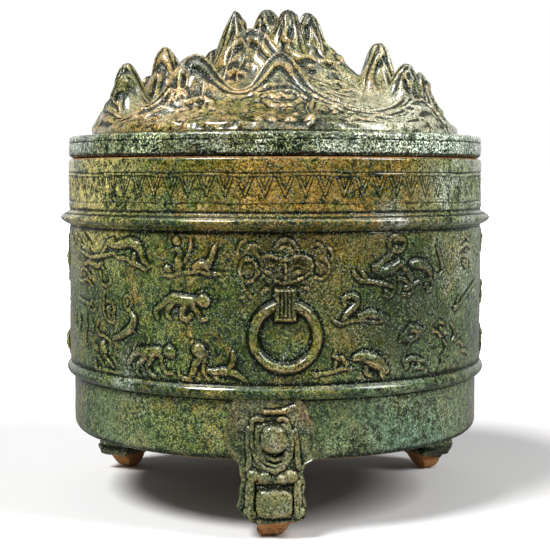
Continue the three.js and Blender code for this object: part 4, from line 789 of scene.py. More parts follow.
def build_floor():
    """The bottom disc, slightly dished on both faces, with throwing rings on the inside."""
    outer, low, high = FLOOR_HIGH[0] / MM, FLOOR_LOW[2] / MM, FLOOR_HIGH[2] / MM
    angle = whole_turn(FLOOR_COLUMNS)
    under = np.linspace(0, outer, 40)
    over = under[::-1]
    radius = np.concatenate([under, over])[:, None]
    bottom = low + 0.6 * (1 - (under / outer) ** 2)
    rings = 0.18 * (1 - np.cos(2 * math.pi * over / 6)) * (over < outer - 4)
    top = high - 0.8 * (1 - (over / outer) ** 2) - rings
    points = around(radius, angle, np.concatenate([bottom, top])[:, None])
    share = np.linspace(0, 1, len(radius))[:, None] + 0 * angle
    wave = 0.12 * lumps(angle / (2 * math.pi) + 0 * radius, share, 40, 16, 3)
    points[1:-1, :, 2] += np.clip(wave, -0.1, 0.1)[1:-1] * (radius[1:-1] < outer - 2)
    normals = surface_normals(points, False)
    normals[0], normals[-1] = (0, 0, -1), (0, 0, 1)
    closed_disc("jar_floor_disc", points, normals, {"bare": np.ones(points.shape[:2])},
                body="jar", slot="bare_clay", nodes=["jar_floor"], material=bare_clay())


# Feet

def foot_edges(z, side):
    """Half width of the foot's outline at a height, on the left or the right."""
    heights, widths = FOOT_LEFT if side < 0 else FOOT_RIGHT
    return np.interp(z, heights, widths) + 0.3 * np.sin(z * 0.8 + 2 * side) * (z > 8)


def bear_relief(x, z):
    """Height of the bear above its plate: rounded strokes less cuts, and fine fur lines on the ruff and the limbs."""
    relief = stroke_relief((x, z), BEAR_STROKES, 1.1, 0.8)
    relief -= 0.8 * stroke_relief((x, z), BEAR_CUTS, 1.0, 0.8)
    fur = np.cos(2 * math.pi * (x * np.sign(x) * 0.8 + z) / 1.7)
    relief += 0.10 * fur * np.clip(relief, 0, 1) * (np.abs(x) > 5.5)
    for side, toes in ((-9.2, 27.3), (-4.4, 26.3), (3, 25.7), (6.2, 27)):
        for toe in (-0.8, 0.8):
            relief -= 0.3 * np.exp(-((x - side - toe) / 0.3) ** 2 - ((z - toes + 1.4) / 1.0) ** 2)
    return relief


def foot_surface(turn):
    """One foot as rows of closed loops: the carved front from left to right, then the plain back."""
    base = 95.1  # radius of the plate
    ankle, step, top = 6.4, 31.7, 58.6  # heights where the tip ends, and where the plate's back starts and ends
    front_steps, back_steps = 150, 30
    heights = np.concatenate([np.linspace(0, ankle, 16, endpoint=False), np.linspace(ankle, step, 74, endpoint=False),
                              [step - 0.01], np.linspace(step + 0.02, top, 78)])
    z = heights[:, None]
    left, right = foot_edges(heights, -1)[:, None], foot_edges(heights, 1)[:, None]

    def spread(share):
        return np.where(share < 0, share * left, share * right)

    across = np.linspace(-1, 1, front_steps)[None, :]
    x = spread(across)
    wave = layered_lumps(0.5 + x / 60, z / 60 + 0 * x, 26, 26, 40 + int(turn))
    relief = softened(bear_relief(x, z + 0 * x), False)
    clay = ramp(6.9 + 0.12 * x - z, 1.2)
    shift = TIP_SHIFT * np.clip(1 - z / 7.5, 0, 1)
    x = x + shift
    relief = relief * (1 - clay) - 1.4 * clay + wave * (0.22 + 0.9 * clay * (z > 0.3))
    edge = 1 - np.abs(across) ** 14
    plate = 1.5 + 0.5 * bell(np.abs(across) - 0.93, 0.05)
    taper = -4.5 * ramp(9.5 - z, 9.5) - 2.5 * np.clip(1 - z / 2, 0, 1) ** 2
    out = np.sqrt(np.maximum(base ** 2 - x ** 2, 1)) + (plate + relief) * np.clip(edge * 3, 0, 1) + taper
    out = np.minimum(out, -FOOT_LOW[1] / MM - CLEARANCE)
    back_radius = np.interp(heights, [0, ankle, 12, step, step + 0.01, 60],
                            [85.5, 82.5, 78.5, 77.2, 93, 93])[:, None]
    back_x = spread(np.linspace(1, -1, back_steps)[None, :]) * 0.985 + shift
    hollow = np.sqrt(np.maximum(back_radius ** 2 - back_x ** 2 * (z > step), 1))
    loop_x = np.concatenate([x, back_x], axis=1)
    loop_out = np.concatenate([out, hollow + 0 * back_x], axis=1)
    sine, cosine = math.sin(math.radians(turn)), math.cos(math.radians(turn))
    points = np.stack([loop_x * cosine + loop_out * sine, loop_x * sine - loop_out * cosine, z + 0 * loop_x], axis=-1)
    fields = glaze_fields(relief, 2, 8, False, 0.30)
    runoff(relief, heights, fields, 0.35)
    fields["bare"] = np.clip(clay * 1.2, 0, 1)
    return points, each(fields, lambda values: np.pad(values, ((0, 0), (0, back_steps)), mode="edge"))


def build_feet():
    """Three bears: each a stack of loops closed at the ground and at the top of its plate."""
    material = foot_glaze()
    for node, turn in (("foot_front", 0), ("foot_rear_right", 120), ("foot_rear_left", 240)):
        points, fields = foot_surface(turn)
        low, high = (np.broadcast_to(row.mean(axis=0), (1, *row.shape)) for row in (points[0], points[-1]))
        whole = np.concatenate([low, points, high])
        normals = surface_normals(whole, False)
        normals[0], normals[-1] = (0, 0, -1), (0, 0, 1)
        kept = each(fields, lambda values: np.pad(values, ((1, 1), (0, 0)), mode="edge"))
        closed_disc(f"{node}_bear", whole, normals, kept,
                    body="jar", slot="foot_glaze", nodes=[node], material=material)


# Lid

def rounded_corner(middle_radius, middle_height, radius, start, end):
    """Points of a section's rounded corner, on a circle between two angles in degrees."""
    return [[middle_radius + radius * math.cos(math.radians(a)), middle_height + radius * math.sin(math.radians(a))]
            for a in np.linspace(start, end, 10)]


def build_flange():
    """The lid's rim and its locating ring: a turned section with a groove, a worn edge and chips low on its side."""
    outer, low, top = FLANGE_HIGH[0] / MM, WALL_HIGH[2] / MM + 0.3, FLANGE_HIGH[2] / MM
    bottom, locating, inner = FLANGE_LOW[2] / MM, 89.0, 78.0  # radii of the locating ring and of the rim's edge inside
    section = [[locating - 7, bottom], [locating, bottom], [locating, low]]
    section += [[r, low] for r in np.linspace(locating + 0.5, outer - 2.4, 8)]
    section += rounded_corner(outer - 2.4, low + 2.4, 2.4, -90, 0)
    section += [[outer, h] for h in np.linspace(low + 2.7, top - 2.2, 16)]
    section += rounded_corner(outer - 1.8, top - 1.8, 1.8, 0, 90)
    section += [[r, top] for r in np.linspace(outer - 2.2, inner + 0.6, 40)]
    section = np.array(section + [[inner, top - 0.5], [inner, low + 0.3]])
    angle = whole_turn(RIM_COLUMNS)
    radius, height = section[:, :1] + 0 * angle, section[:, 1:] + 0 * angle
    place = (angle / (2 * math.pi) + 0 * radius, np.linspace(0, 1, len(section))[:, None] + 0 * angle)
    outside = (radius > locating + 1) & (height > low - 0.1)
    groove = 0.15 * bell(height - (top - 3.1), 0.45) * (radius > outer - 1)
    step = 0.2 * bell(radius - (outer - 5.5), 0.8) * (height > top - 0.2)
    chips = np.clip(layered_lumps(*place, 110, 12, 61) - 0.25, 0, 1) * bell(height - low, 2.0)
    waves = 0.28 * layered_lumps(*place, 60, 10, 62)
    dent = outside * (groove + 1.6 * chips - np.clip(waves, -0.3, 0.3))
    radius = radius - dent * (height < top - 0.3)
    height = height - step - outside * (height > top - 0.3) * np.clip(dent, 0, 1)
    points = around(radius, angle, height)
    fields = glaze_fields(-dent - step, 2, 6, True)
    # Painted shadow: the rim's underside, over the gap above the jar's lip, counts as fully hollow, so its glaze is
    # drawn near black.
    under = height < low + 1.3
    fields["hollow"] = np.maximum(fields["hollow"], under)
    fields["bare"] = np.clip(np.clip(1.6 * chips, 0, 1) * outside * ~under + (radius < inner + 0.3), 0, 1)
    normals = surface_normals(points, True)
    make_piece("lid_rim", points.reshape(-1, 3), ring_faces(*points.shape[:2], True), normals.reshape(-1, 3), fields,
               body="lid", slot="lid_glaze", nodes=["lid_flange"], material=rim_glaze())


def smooth_crest(ridge, steps=6):
    """Points along a Catmull-Rom curve through a ridge's crest points."""
    given = np.concatenate([ridge[:1], ridge, ridge[-1:]])
    share = np.linspace(0, 1, steps, endpoint=False)[:, None]
    spans = []
    for a, b, c, d in zip(given[:-3], given[1:-2], given[2:-1], given[3:]):
        bend = (2 * a - 5 * b + 4 * c - d) * share ** 2 + (3 * b - a - 3 * c + d) * share ** 3
        spans.append(0.5 * (2 * b + (c - a) * share + bend))
    return np.concatenate(spans + [given[-1:]])


def soft_distance(place, crest, soft, spacing=1.1):
    """Distance to a crest that stays smooth where the crest bends: the sum over its evenly spaced points of the
    inverse cube of (distance squared + soft squared), turned back into a length; with the means, weighted in the
    same way, of the crest's height, of its distance from the axis and of the length run along it."""
    steps = np.hypot(np.diff(crest[:, 0]), np.diff(crest[:, 1]))
    run = np.concatenate([[0], np.cumsum(steps)])
    at = np.linspace(0, run[-1], max(int(run[-1] / spacing), 3))
    even = np.stack([np.interp(at, run, crest[:, i]) for i in range(3)], axis=1)
    total = np.zeros(place[0].shape)
    height, axis, length = total.copy(), total.copy(), total.copy()
    for point, t in zip(even, at):
        away = sum((given - value) ** 2 for given, value in zip(place, point)) + soft ** 2
        weight = away ** -3
        total += weight
        height += weight * point[2]
        axis += weight * math.hypot(point[0], point[1])
        length += weight * t
    distance = (total * (at[1] - at[0]) / (3 * math.pi / 8)) ** (-1 / 5)
    distance = np.sqrt(np.maximum(distance ** 2 - soft ** 2, 0))
    side = np.hypot(place[0], place[1]) - axis / total
    ends = np.clip(length / total / 6, 0, 1) * np.clip((at[-1] - length / total) / 6, 0, 1)
    return distance, height / total, side, ends


def ridge_ground(x, y, base, ridge):
    """Ground under one ridge: the base, plus the crest's rise over it times exp(-(distance / width)^1.75)."""
    outer, inner, _, crest = ridge
    near = box_near(x, y, crest, 26)
    ground = base.copy()
    distance, height, side, _ = soft_distance((x[near], y[near]), crest, 1.0)
    width = inner + (outer - inner) * (np.clip(side / 3, -1, 1) + 1) / 2
    ground[near] += np.maximum(height - base[near], 0) * np.exp(-(distance / width) ** 1.75)
    return ground


def ridge_ropes(x, y, ground, ridge):
    """Ropes and grooves that run along a ridge, as bells of the signed distance over the surface from its crest."""
    _, _, rope, crest = ridge
    near = box_near(x, y, crest, 12)
    relief = np.zeros_like(x)
    distance, _, side, ends = soft_distance((x[near], y[near], ground[near]), crest, 0.7)
    signed = distance * np.clip(side / 0.8, -1, 1)
    bells = ((0, .85, .8), (1.9, -.75, .6), (5.2, .75, .7), (6.9, -.85, .7), (9.8, .4, .9), (-2, -.7, .7))
    relief[near] = rope * ends * sum(size * bell(signed - at, width) for at, size, width in bells)
    return relief


def hill_ground(x, y, toe, cone):
    """Height of the bare mountains: a cone, ridges and peaks, joined smoothly where they meet."""
    radius = np.hypot(x, y)
    base = np.maximum(HILL_EDGE, cone * (1 - radius / toe))
    opposite = np.array([-1, -1, BEHIND])
    ridges = [(outer, inner, rope, smooth_crest(points * side))
              for outer, inner, rope, points in RIDGES.values() for side in (1, opposite)]
    grounds = [base] + [ridge_ground(x, y, base, ridge) for ridge in ridges]
    behind = PEAKS[PEAKS[:, 5] > 0] * (*opposite, 1, 1, 1)
    peaks = np.concatenate([PEAKS, behind])[:, :5]
    for px, py, height, width, power in peaks:
        away = np.hypot(x - px, (y - py) / PEAK_DEPTH)
        grounds.append(base + (height - base) * np.exp(-(away / width) ** power))
    stack = np.stack(grounds)
    sharp, soft = stack.max(axis=0), 0.8
    ground = sharp + np.log(np.exp((stack - sharp) / soft).sum(axis=0)) * soft
    return np.minimum(ground, HILL_EDGE + 2.3 * np.maximum(toe - radius, 0)), ridges, peaks


def hill_relief(x, y, ground, toe, ridges, peaks):
    """Ropes along the ridges, ribs on the peaks, small reliefs, knobs, pits, hand-made waves and veins, in mm."""
    across, up = (x + toe) / (2 * toe + 4), (y + toe) / (2 * toe + 4)
    relief = np.zeros_like(ground)
    for ridge in ridges:
        ropes = ridge_ropes(x, y, ground, ridge)
        relief = np.where(np.abs(ropes) > np.abs(relief), ropes, relief)
    relief = blurred(relief, 1, False)
    for px, py, _, width, _ in peaks:
        away = np.hypot(x - px, (y - py) / PEAK_DEPTH) / width
        turn = np.arctan2(y - py, x - px) + 0.8 * lumps(across, up, 30, 30, 9)
        relief += 0.5 * np.cos(turn * 8) * np.clip(1.5 * away, 0, 1) * np.exp(-(away / 1.1) ** 4)
    detail = np.zeros_like(ground)
    for side in ((1, 1, 1, 1), (-1, -1, BEHIND, 1)):
        moved = [stroke * side for stroke in HILL_STROKES]
        detail = np.maximum(detail, stroke_relief((x, y, ground), moved, 0.75, 1))
    for places, rise in ((HILL_KNOBS, 0.85), (HILL_PITS, -1.1)):
        for px, py, pz, width in places:
            away = ((x - px) ** 2 + (y - py) ** 2 + (ground - pz) ** 2) / width ** 2
            detail += rise * width * np.exp(-away ** 1.4)
    relief += blurred(detail, 1, False)
    relief += 0.6 * layered_lumps(across, up, 24, 24, 70, 3)
    turn = np.arctan2(x, -y) / (2 * math.pi) + 0.006 * lumps(across, up, 40, 40, 81)
    out = np.hypot(x, y) / toe + 0.03 * lumps(across, up, 34, 34, 82)
    veins = ramp(1 - np.abs(lumps(turn, out, 48, 7, 80)) - 0.74, 0.26) ** 1.5
    relief += 0.95 * veins * np.clip(2 * lumps(across, up, 16, 16, 83) + 0.7, 0, 1)
    return relief * ramp(toe - np.hypot(x, y), 0.9)


def hill_surface(sizes, step=0.4):
    """Points of the mountains on a square raster, the ground moved along its normal by its relief, with its hollows
    and crests. Glaze pools where the relief rises down the slope, and drains off where it falls."""
    toe = sizes.toe_radius / MM
    line = np.arange(-toe - 2, toe + 2 + step, step)
    x, y = np.meshgrid(line, line)
    ground, ridges, peaks = hill_ground(x, y, toe, sizes.cone_height / MM)
    relief = hill_relief(x, y, ground, toe, ridges, peaks)
    points = np.stack([x, y, ground], axis=-1)
    ways = np.cross(np.gradient(points, axis=1), np.gradient(points, axis=0))
    points += relief[..., None] * ways / np.linalg.norm(ways, axis=-1, keepdims=True)
    ceiling = (HILLS_HIGH[2] - HILLS_LOW[2]) / MM
    points[..., 2] = np.minimum(np.maximum(points[..., 2], 0.6), ceiling - 0.05)
    fields = glaze_fields(relief, 2, 9, False, 0.30)
    fall_y, fall_x = np.gradient(ground, step)
    rise_y, rise_x = np.gradient(relief, step)
    steep = np.maximum(np.hypot(fall_x, fall_y), 0.05)
    along = -(rise_x * fall_x + rise_y * fall_y) / steep / np.sqrt(1 + steep ** 2)
    fields["hollow"] = np.maximum(fields["hollow"], np.clip(along / 0.6 - 0.25, 0, 1))
    fields["rim"] = np.maximum(0.6 * fields["rim"], np.clip(-along / 0.5 - 0.1, 0, 1))
    return line, points, fields


def sampled(raster, line, x, y):
    """A raster read between its points by straight-line blending."""
    step = line[1] - line[0]
    column, row = (x - line[0]) / step, (y - line[0]) / step
    c, r = np.floor(column).astype(int), np.floor(row).astype(int)
    fc, fr = column - c, row - r
    low = raster[r, c] * (1 - fc) + raster[r, c + 1] * fc
    high = raster[r + 1, c] * (1 - fc) + raster[r + 1, c + 1] * fc
    return low * (1 - fr) + high * fr


def build_hills():
    """The mountains in two rings and a cap, all on one polar grid, over a conical hollow."""
    sizes = bpy.context.scene.censer_lid
    line, raster, fields = hill_surface(sizes)
    toe, seat = sizes.toe_radius / MM, HILLS_LOW[2] / MM
    middle, summit = 58, 28  # radii where the pieces meet
    radii = np.concatenate([np.linspace(toe, middle, 74, endpoint=False),
                            np.linspace(middle, summit, 76, endpoint=False), np.linspace(summit, 0, 60)])
    ends = [0, 74, 74 + 76, len(radii) - 1]
    angle = whole_turn(HILL_COLUMNS)
    flat = around(radii[:, None], angle, 0)

    def polar(values):
        return sampled(values, line, flat[..., 0], flat[..., 1])

    points = np.stack([polar(raster[..., i]) for i in range(3)], axis=-1)
    points[..., 2] += seat
    points[0] = around(toe, angle, seat + HILL_EDGE)[0]
    normals = surface_normals(points, False)
    normals[-1] = (0, 0, 1)
    kept = each(fields, polar)
    kept["bare"] = np.zeros(flat.shape[:2])
    hollow_top = (sizes.cone_height - sizes.shell) / MM
    hollow_radius = toe - sizes.hollow_margin / MM
    where = dict(body="lid", slot="lid_glaze", material=hill_glaze())

    def under_side(outer, inner):
        beneath = np.linspace(inner, outer, 6)[:, None]
        return around(beneath, angle, seat + np.clip(hollow_top * (1 - beneath / hollow_radius), 0, hollow_top))

    for name, first, last, nodes in (
            ("lid_mountains_outer", 0, 1, ["lid_hills", "lid_beast_front", "lid_beast_left"]),
            ("lid_mountains_middle", 1, 2, ["lid_hills"])):
        rows = slice(ends[first], ends[last] + 1)
        closed_ring(name, points[rows], under_side(radii[ends[first]], radii[ends[last]]), normals[rows],
                    each(kept, lambda values: values[rows]), nodes=nodes, **where)
    rows = slice(ends[2], None)
    inner = under_side(radii[ends[2]], 0)
    whole_normals = np.concatenate([surface_normals(inner, False), normals[rows]])
    whole_normals[0] = (0, 0, -1)
    part = each(kept, lambda values: np.concatenate([np.zeros(inner.shape[:2]), values[rows]]))
    closed_disc("lid_mountains_summit", np.concatenate([inner, points[rows]]), whole_normals, part,
                nodes=["lid_hills"], **where)


# Material building blocks

class Wire:
    """A value in a shader tree. The signs of arithmetic add the node that works them out."""

    def __init__(self, nodes, socket):
        self.nodes, self.socket = nodes, socket

    def __add__(self, other):
        return self.nodes.maths("ADD", self, other)

    def __sub__(self, other):
        return self.nodes.maths("SUBTRACT", self, other)

    def __rsub__(self, other):
        return self.nodes.maths("SUBTRACT", other, self)

    def __mul__(self, other):
        return self.nodes.maths("MULTIPLY", self, other)


class Nodes:
    """Short calls for making and joining shader nodes in one tree."""

    def __init__(self, tree):
        self.tree = tree

    def feed(self, node, inputs):
        """Joins values to a node's inputs, or sets plain numbers and colours there."""
        for key, value in inputs.items():
            socket = node.inputs[key]
            if isinstance(value, Wire):
                self.tree.links.new(value.socket, socket)
            else:
                socket.default_value = (*value, 1.0) if socket.type == "RGBA" else value

    def node(self, kind, inputs, **settings):
        node = self.tree.nodes.new(kind)
        for key, value in settings.items():
            setattr(node, key, value)
        self.feed(node, inputs)
        return node

    def outputs(self, node):
        return {socket.name: Wire(self, socket) for socket in node.outputs}

    def made(self, kind, inputs, out=0, **settings):
        return Wire(self, self.node("ShaderNode" + kind, inputs, **settings).outputs[out])

    def maths(self, operation, a, b):
        return self.made("Math", {0: a, 1: b}, operation=operation)

    def ranged(self, value, low, high, to_low=0.0, to_high=1.0):
        inputs = dict(enumerate((value, low, high, to_low, to_high)))
        return self.made("MapRange", inputs, interpolation_type="SMOOTHSTEP")

    def mixed(self, share, a, b, blend="MIX"):
        return self.made("Mix", {0: share, 6: a, 7: b}, 2, data_type="RGBA", blend_type=blend)

    def noise(self, place, scale, detail=3.0, roughness=0.55, distortion=0.0):
        return self.made("TexNoise", {"Vector": place, "Scale": scale, "Detail": detail, "Roughness": roughness,
                                      "Distortion": distortion})

    def cells(self, place, scale, feature="F1"):
        return self.made("TexVoronoi", {"Vector": place, "Scale": scale}, "Distance", feature=feature)

    def place(self):
        return self.made("TexCoord", {}, "Object")

    def field(self, name):
        return self.made("Attribute", {}, "Fac", attribute_name=name)

    def near(self, place, spot):
        """One at a spot [x, y, z, radius] in millimetres, falling to nothing at its radius."""
        x, y, z, radius = (value / 1000 for value in spot)
        away = self.made("VectorMath", {0: place, 1: (x, y, z)}, "Value", operation="DISTANCE")
        return self.ranged(away, radius, 0.0)

    def bumped(self, height, strength):
        return self.made("Bump", {"Height": height, "Strength": strength, "Distance": 0.0005})

    def grouped(self, build, inputs):
        """The outputs of a node group, which is built the first time it is asked for."""
        group = bpy.data.node_groups.get(build.__name__) or build(build.__name__)
        return self.outputs(self.node("ShaderNodeGroup", inputs, node_tree=group))


def group_with(name, inputs, outputs):
    """An empty shader node group with named sockets: its helper, the values coming in and the node at its end."""
    group = bpy.data.node_groups.new(name, "ShaderNodeTree")
    for label, (kind, value) in inputs.items():
        group.interface.new_socket(label, in_out="INPUT", socket_type="NodeSocket" + kind).default_value = value
    for label in outputs:
        kind = "Color" if label == "Color" else "Float"
        group.interface.new_socket(label, in_out="OUTPUT", socket_type="NodeSocket" + kind)
    n = Nodes(group)
    return group, n, n.outputs(group.nodes.new("NodeGroupInput")), group.nodes.new("NodeGroupOutput")


def glaze_depth(name):
    """Colour of a lead glaze by how thin it lies: pooled, green and olive, with ochre where it is stained and amber
    on the rims of the relief."""
    colours = bpy.context.scene.censer_colours
    inputs = {label: ("Color", (*getattr(colours, label.lower()), 1.0))
              for label in ("Pooled", "Green", "Olive", "Ochre", "Amber")}
    inputs.update(Thinness=("Float", 0.5), Stain=("Float", 0.0), Rim=("Float", 0.0))
    group, n, given, end = group_with(name, inputs, ("Color",))
    thin = given["Thinness"]
    colour = n.mixed(n.ranged(thin, 0.10, 0.36), given["Pooled"], given["Green"])
    colour = n.mixed(n.ranged(thin, 0.36, 0.66), colour, given["Olive"])
    stain = given["Stain"] * n.ranged(thin, 0.20, 0.52)
    colour = n.mixed(stain, colour, given["Ochre"])
    warm = stain * n.ranged(thin, 0.62, 0.86)
    n.feed(end, {"Color": n.mixed(n.maths("MAXIMUM", warm, given["Rim"]), colour, given["Amber"])})
    return group


def glaze_grain(name):
    """Grain of an old glaze: light and dark by turns, with pale and dark specks, crackle and pits, and a height."""
    inputs = {"Place": ("Vector", (0, 0, 0)), "Contrast": ("Float", 1.0)}
    group, n, given, end = group_with(name, inputs, ("Grain", "Dark", "Pale", "Glint", "Crackle", "Height"))
    place = given["Place"]
    finest = n.noise(place, 1650.0, 1.0, 0.5)
    fine = n.noise(place, 900.0, 2.0, 0.6)
    coarse = n.noise(place, 430.0, 3.0, 0.65)
    uneven = n.ranged(n.noise(place, 52.0, 2.0, 0.6), 0.34, 0.66, 0.65, 1.35)
    swing = (n.ranged(finest * 0.55 + fine * 0.45, 0.36, 0.64) - 0.5) * (given["Contrast"] * uneven * 3.8)
    patches = n.ranged(n.noise(place, 85.0, 3.0, 0.6), 0.46, 0.62)
    wander = n.made("TexNoise", {"Vector": place, "Scale": 240.0}, "Color")
    shift = n.made("VectorMath", {0: wander, "Scale": 0.0012}, operation="SCALE")
    edge = n.cells(n.made("VectorMath", {0: place, 1: shift}, operation="ADD"), 430.0, "DISTANCE_TO_EDGE")
    crackle = n.ranged(edge, 0.07, 0.0) * n.ranged(n.noise(place, 70.0), 0.42, 0.62)
    pits = n.ranged(n.cells(place, 260.0), 0.16, 0.05)
    glint = n.ranged(n.cells(place, 980.0), 0.32, 0.18) * n.ranged(n.noise(place, 140.0, 4.0, 0.7), 0.41, 0.55)
    n.feed(end, {
        "Grain": n.maths("POWER", 2.0, n.maths("MINIMUM", swing, swing * 0.55)),
        "Dark": n.ranged(coarse * 0.6 + fine * 0.4, 0.445, 0.37),
        "Pale": n.ranged(fine, 0.54, 0.66) * (patches * 0.8 + 0.2),
        "Glint": glint, "Crackle": crackle,
        "Height": coarse * 0.7 + fine * 0.45 - (crackle * 0.25 + pits * 0.8)})
    return group


def bare_earthenware(name):
    """Bare red-orange earthenware: mottled colour, soot and grit, with a height."""
    inputs = {"Place": ("Vector", (0, 0, 0)), "Clay": ("Color", (*bpy.context.scene.censer_colours.clay, 1.0)),
              "Fresh": ("Color", (0.58, 0.29, 0.11, 1.0))}
    group, n, given, end = group_with(name, inputs, ("Color", "Height"))
    place = given["Place"]
    patches = n.noise(place, 130.0, 4.0, 0.6)
    grit = n.noise(place, 1500.0, 2.0, 0.7)
    colour = n.mixed(n.ranged(patches, 0.35, 0.7), given["Clay"], given["Fresh"])
    colour = n.mixed(n.ranged(n.noise(place, 220.0, 3.0, 0.6), 0.56, 0.72), colour, (0.10, 0.055, 0.03))
    colour = n.mixed(n.ranged(grit, 0.58, 0.72), colour, (0.70, 0.55, 0.38))
    n.feed(end, {"Color": colour, "Height": patches * 0.7 + grit * 0.3})
    return group


def new_material(name):
    """A material, its tree's helper and its shader."""
    material = bpy.data.materials.new(name)
    material.use_nodes = True
    return material, Nodes(material.node_tree), material.node_tree.nodes["Principled BSDF"]


def glazed(name, stains_and_sheens, silver, rim, stained=0.5, contrast=1.0, changes=None, glints=0.5, thin_bias=0.0,
           streaks=0.35, roughness=0.2, pool=(0.08, 0.6)):
    """A glaze material: depth by recess and crest, stained patches with some painted highlights and sheens, grain with
    painted glints, silvery weathering with a painted sheen, hollows drawn near black as pooled glaze and painted shade,
    and bare clay. The changes are this glaze's own colours, and the pool is the range of the hollows where it turns
    dark."""
    material, n, shader = new_material(name)
    place = n.place()
    hollow, shade, bare, sharp = (n.field(key) for key in ("hollow", "shade", "bare", "rim"))
    broad = n.noise(place, 30.0, 4.0, 0.6, 0.4)
    runs = n.noise(n.made("Mapping", {"Vector": place, "Scale": (1.0, 1.0, 0.16)}), 150.0, 3.0, 0.6)
    mottle = n.noise(place, 330.0, 5.0, 0.74, 0.3)
    thin = (broad - 0.5) * 1.1 + (0.50 + thin_bias) + (mottle - 0.5) * 2.2 + (runs - 0.5) * streaks
    thin = thin - hollow * 0.12 - shade * 0.16
    broken = n.ranged(n.noise(place, 95.0, 5.0, 0.72, 0.4), 0.38, 0.58)
    stain = n.ranged(n.noise(place, 48.0, 5.0, 0.68, 0.5), 0.48, 0.64) * stained
    for *spot, share in (row for row in stains_and_sheens if len(row) == 5):
        stain = n.maths("MAXIMUM", stain, n.near(place, spot) * share * broken)
    worn = n.ranged(n.noise(place, 260.0, 4.0, 0.7), 0.38, 0.60)
    edges = n.ranged(sharp, 0.2, 0.9) * worn * rim
    colour = n.grouped(glaze_depth, {"Thinness": thin, "Stain": stain, "Rim": edges, **(changes or {})})["Color"]
    for *spot, share, red, green, blue in (row for row in stains_and_sheens if len(row) == 8):
        tinted = n.near(place, spot) * share * n.ranged(thin, 0.2, 0.6) * (1.0 - edges * 0.7)
        colour = n.mixed(tinted, colour, (red, green, blue))
    # Silvery weathering, with painted sheens and highlights at the silvery places.
    share, on_crests, *places = silver
    weather = n.ranged(n.noise(place, 62.0, 5.0, 0.74, 0.6), 0.46, 0.64)
    for *spot, nearby in places:
        share = n.near(place, spot) * nearby + share
    silver_and_sheen_share = weather * share + n.ranged(hollow, -0.10, -0.6) * on_crests
    silver_and_sheen_share = n.maths("MINIMUM", silver_and_sheen_share * n.ranged(n.noise(place, 900.0, 3.0, 0.7), 0.40, 0.58), 0.9)
    colour = n.mixed(silver_and_sheen_share, colour, bpy.context.scene.censer_colours.silver)
    speckle = n.grouped(glaze_grain, {"Place": place, "Contrast": contrast})
    colour = n.mixed(speckle["Pale"] * 0.25, colour, (0.36, 0.42, 0.20))
    colour = n.mixed(1.0, colour, speckle["Grain"], "MULTIPLY")
    colour = n.mixed(speckle["Dark"] * 0.75, colour, (0.008, 0.014, 0.004))
    colour = n.mixed(speckle["Crackle"] * 0.4, colour, (0.010, 0.015, 0.005))
    # Glaze pooled deep in the hollows is drawn near black, partly as painted shade; the coat is cut there too, as
    # painted shade on the reflections.
    pooled = n.ranged(hollow, *pool)
    colour = n.mixed(pooled * 0.92, colour, (0.004, 0.008, 0.003))
    # Glints: tiny pale specks, partly the glaze's silvery flecks and partly painted sparkle highlights.
    colour = n.mixed(speckle["Glint"] * glints, colour, (0.68, 0.80, 0.62))
    clay = n.grouped(bare_earthenware, {"Place": place})
    uncovered = n.ranged(bare + (n.noise(place, 300.0, 3.0, 0.6) - 0.5) * 0.9, 0.42, 0.62)
    height = speckle["Height"] + n.noise(place, 140.0, 3.0, 0.6) * 1.4
    height = height * (1.0 - uncovered * 0.5) + clay["Height"] * uncovered
    n.feed(shader, {
        "Base Color": n.mixed(uncovered, colour, clay["Color"]),
        "Roughness": mottle * 0.14 + roughness + silver_and_sheen_share * 0.2 + uncovered * 0.5,
        "Normal": n.bumped(height, 0.9),
        "Coat Weight": (1.0 - uncovered) * (1.0 - pooled * 0.9) * 0.8,
        "Specular IOR Level": 0.15, "Coat Roughness": 0.07, "Coat IOR": 1.6})
    return material


def jar_glaze():
    """Green glaze of the jar: ochre in front round the mask and on the neck, paler on the left, silvery on the right
    with a painted sheen, and with painted highlights on the bands."""
    return glazed("jar_lead_glaze", JAR_STAINS_AND_SHEENS, JAR_SILVER_AND_SHEEN, rim=1.0)


def foot_glaze():
    """Darker green glaze of the feet, thin over the bears' crests, bare at the tips, with a painted highlight on the
    front bear's face.
    """
    changes = {"Green": (0.045, 0.072, 0.024), "Olive": (0.19, 0.21, 0.085)}
    return glazed("foot_lead_glaze", FOOT_STAINS, FOOT_SILVER_AND_SHEEN, rim=0.8, stained=0.3, contrast=0.9, changes=changes,
                  thin_bias=0.03)


def hill_glaze():
    """Brown and olive glaze of the mountains, thin and glossy, with a silvery skin and a painted sheen on the right."""
    changes = {"Green": (0.040, 0.058, 0.010), "Olive": (0.35, 0.32, 0.090), "Ochre": (0.48, 0.27, 0.065),
               "Amber": (0.78, 0.50, 0.22)}
    return glazed("hill_lead_glaze", HILL_STAINS_AND_SHEEN, HILL_SILVER_AND_SHEEN, rim=0.8, stained=0.6, contrast=0.85, changes=changes,
                  glints=0.6, streaks=0.15, roughness=0.14, pool=(0.06, 0.45))


def rim_glaze():
    """Green glaze of the lid's rim, worn pale and silvery towards the right, where a sheen is painted too."""
    changes = {"Green": (0.024, 0.050, 0.020), "Olive": (0.36, 0.43, 0.21)}
    return glazed("rim_lead_glaze", RIM_STAINS_AND_SHEEN, RIM_SILVER_AND_SHEEN, rim=0.4, stained=0.4, contrast=1.7, changes=changes,
                  glints=1.0)


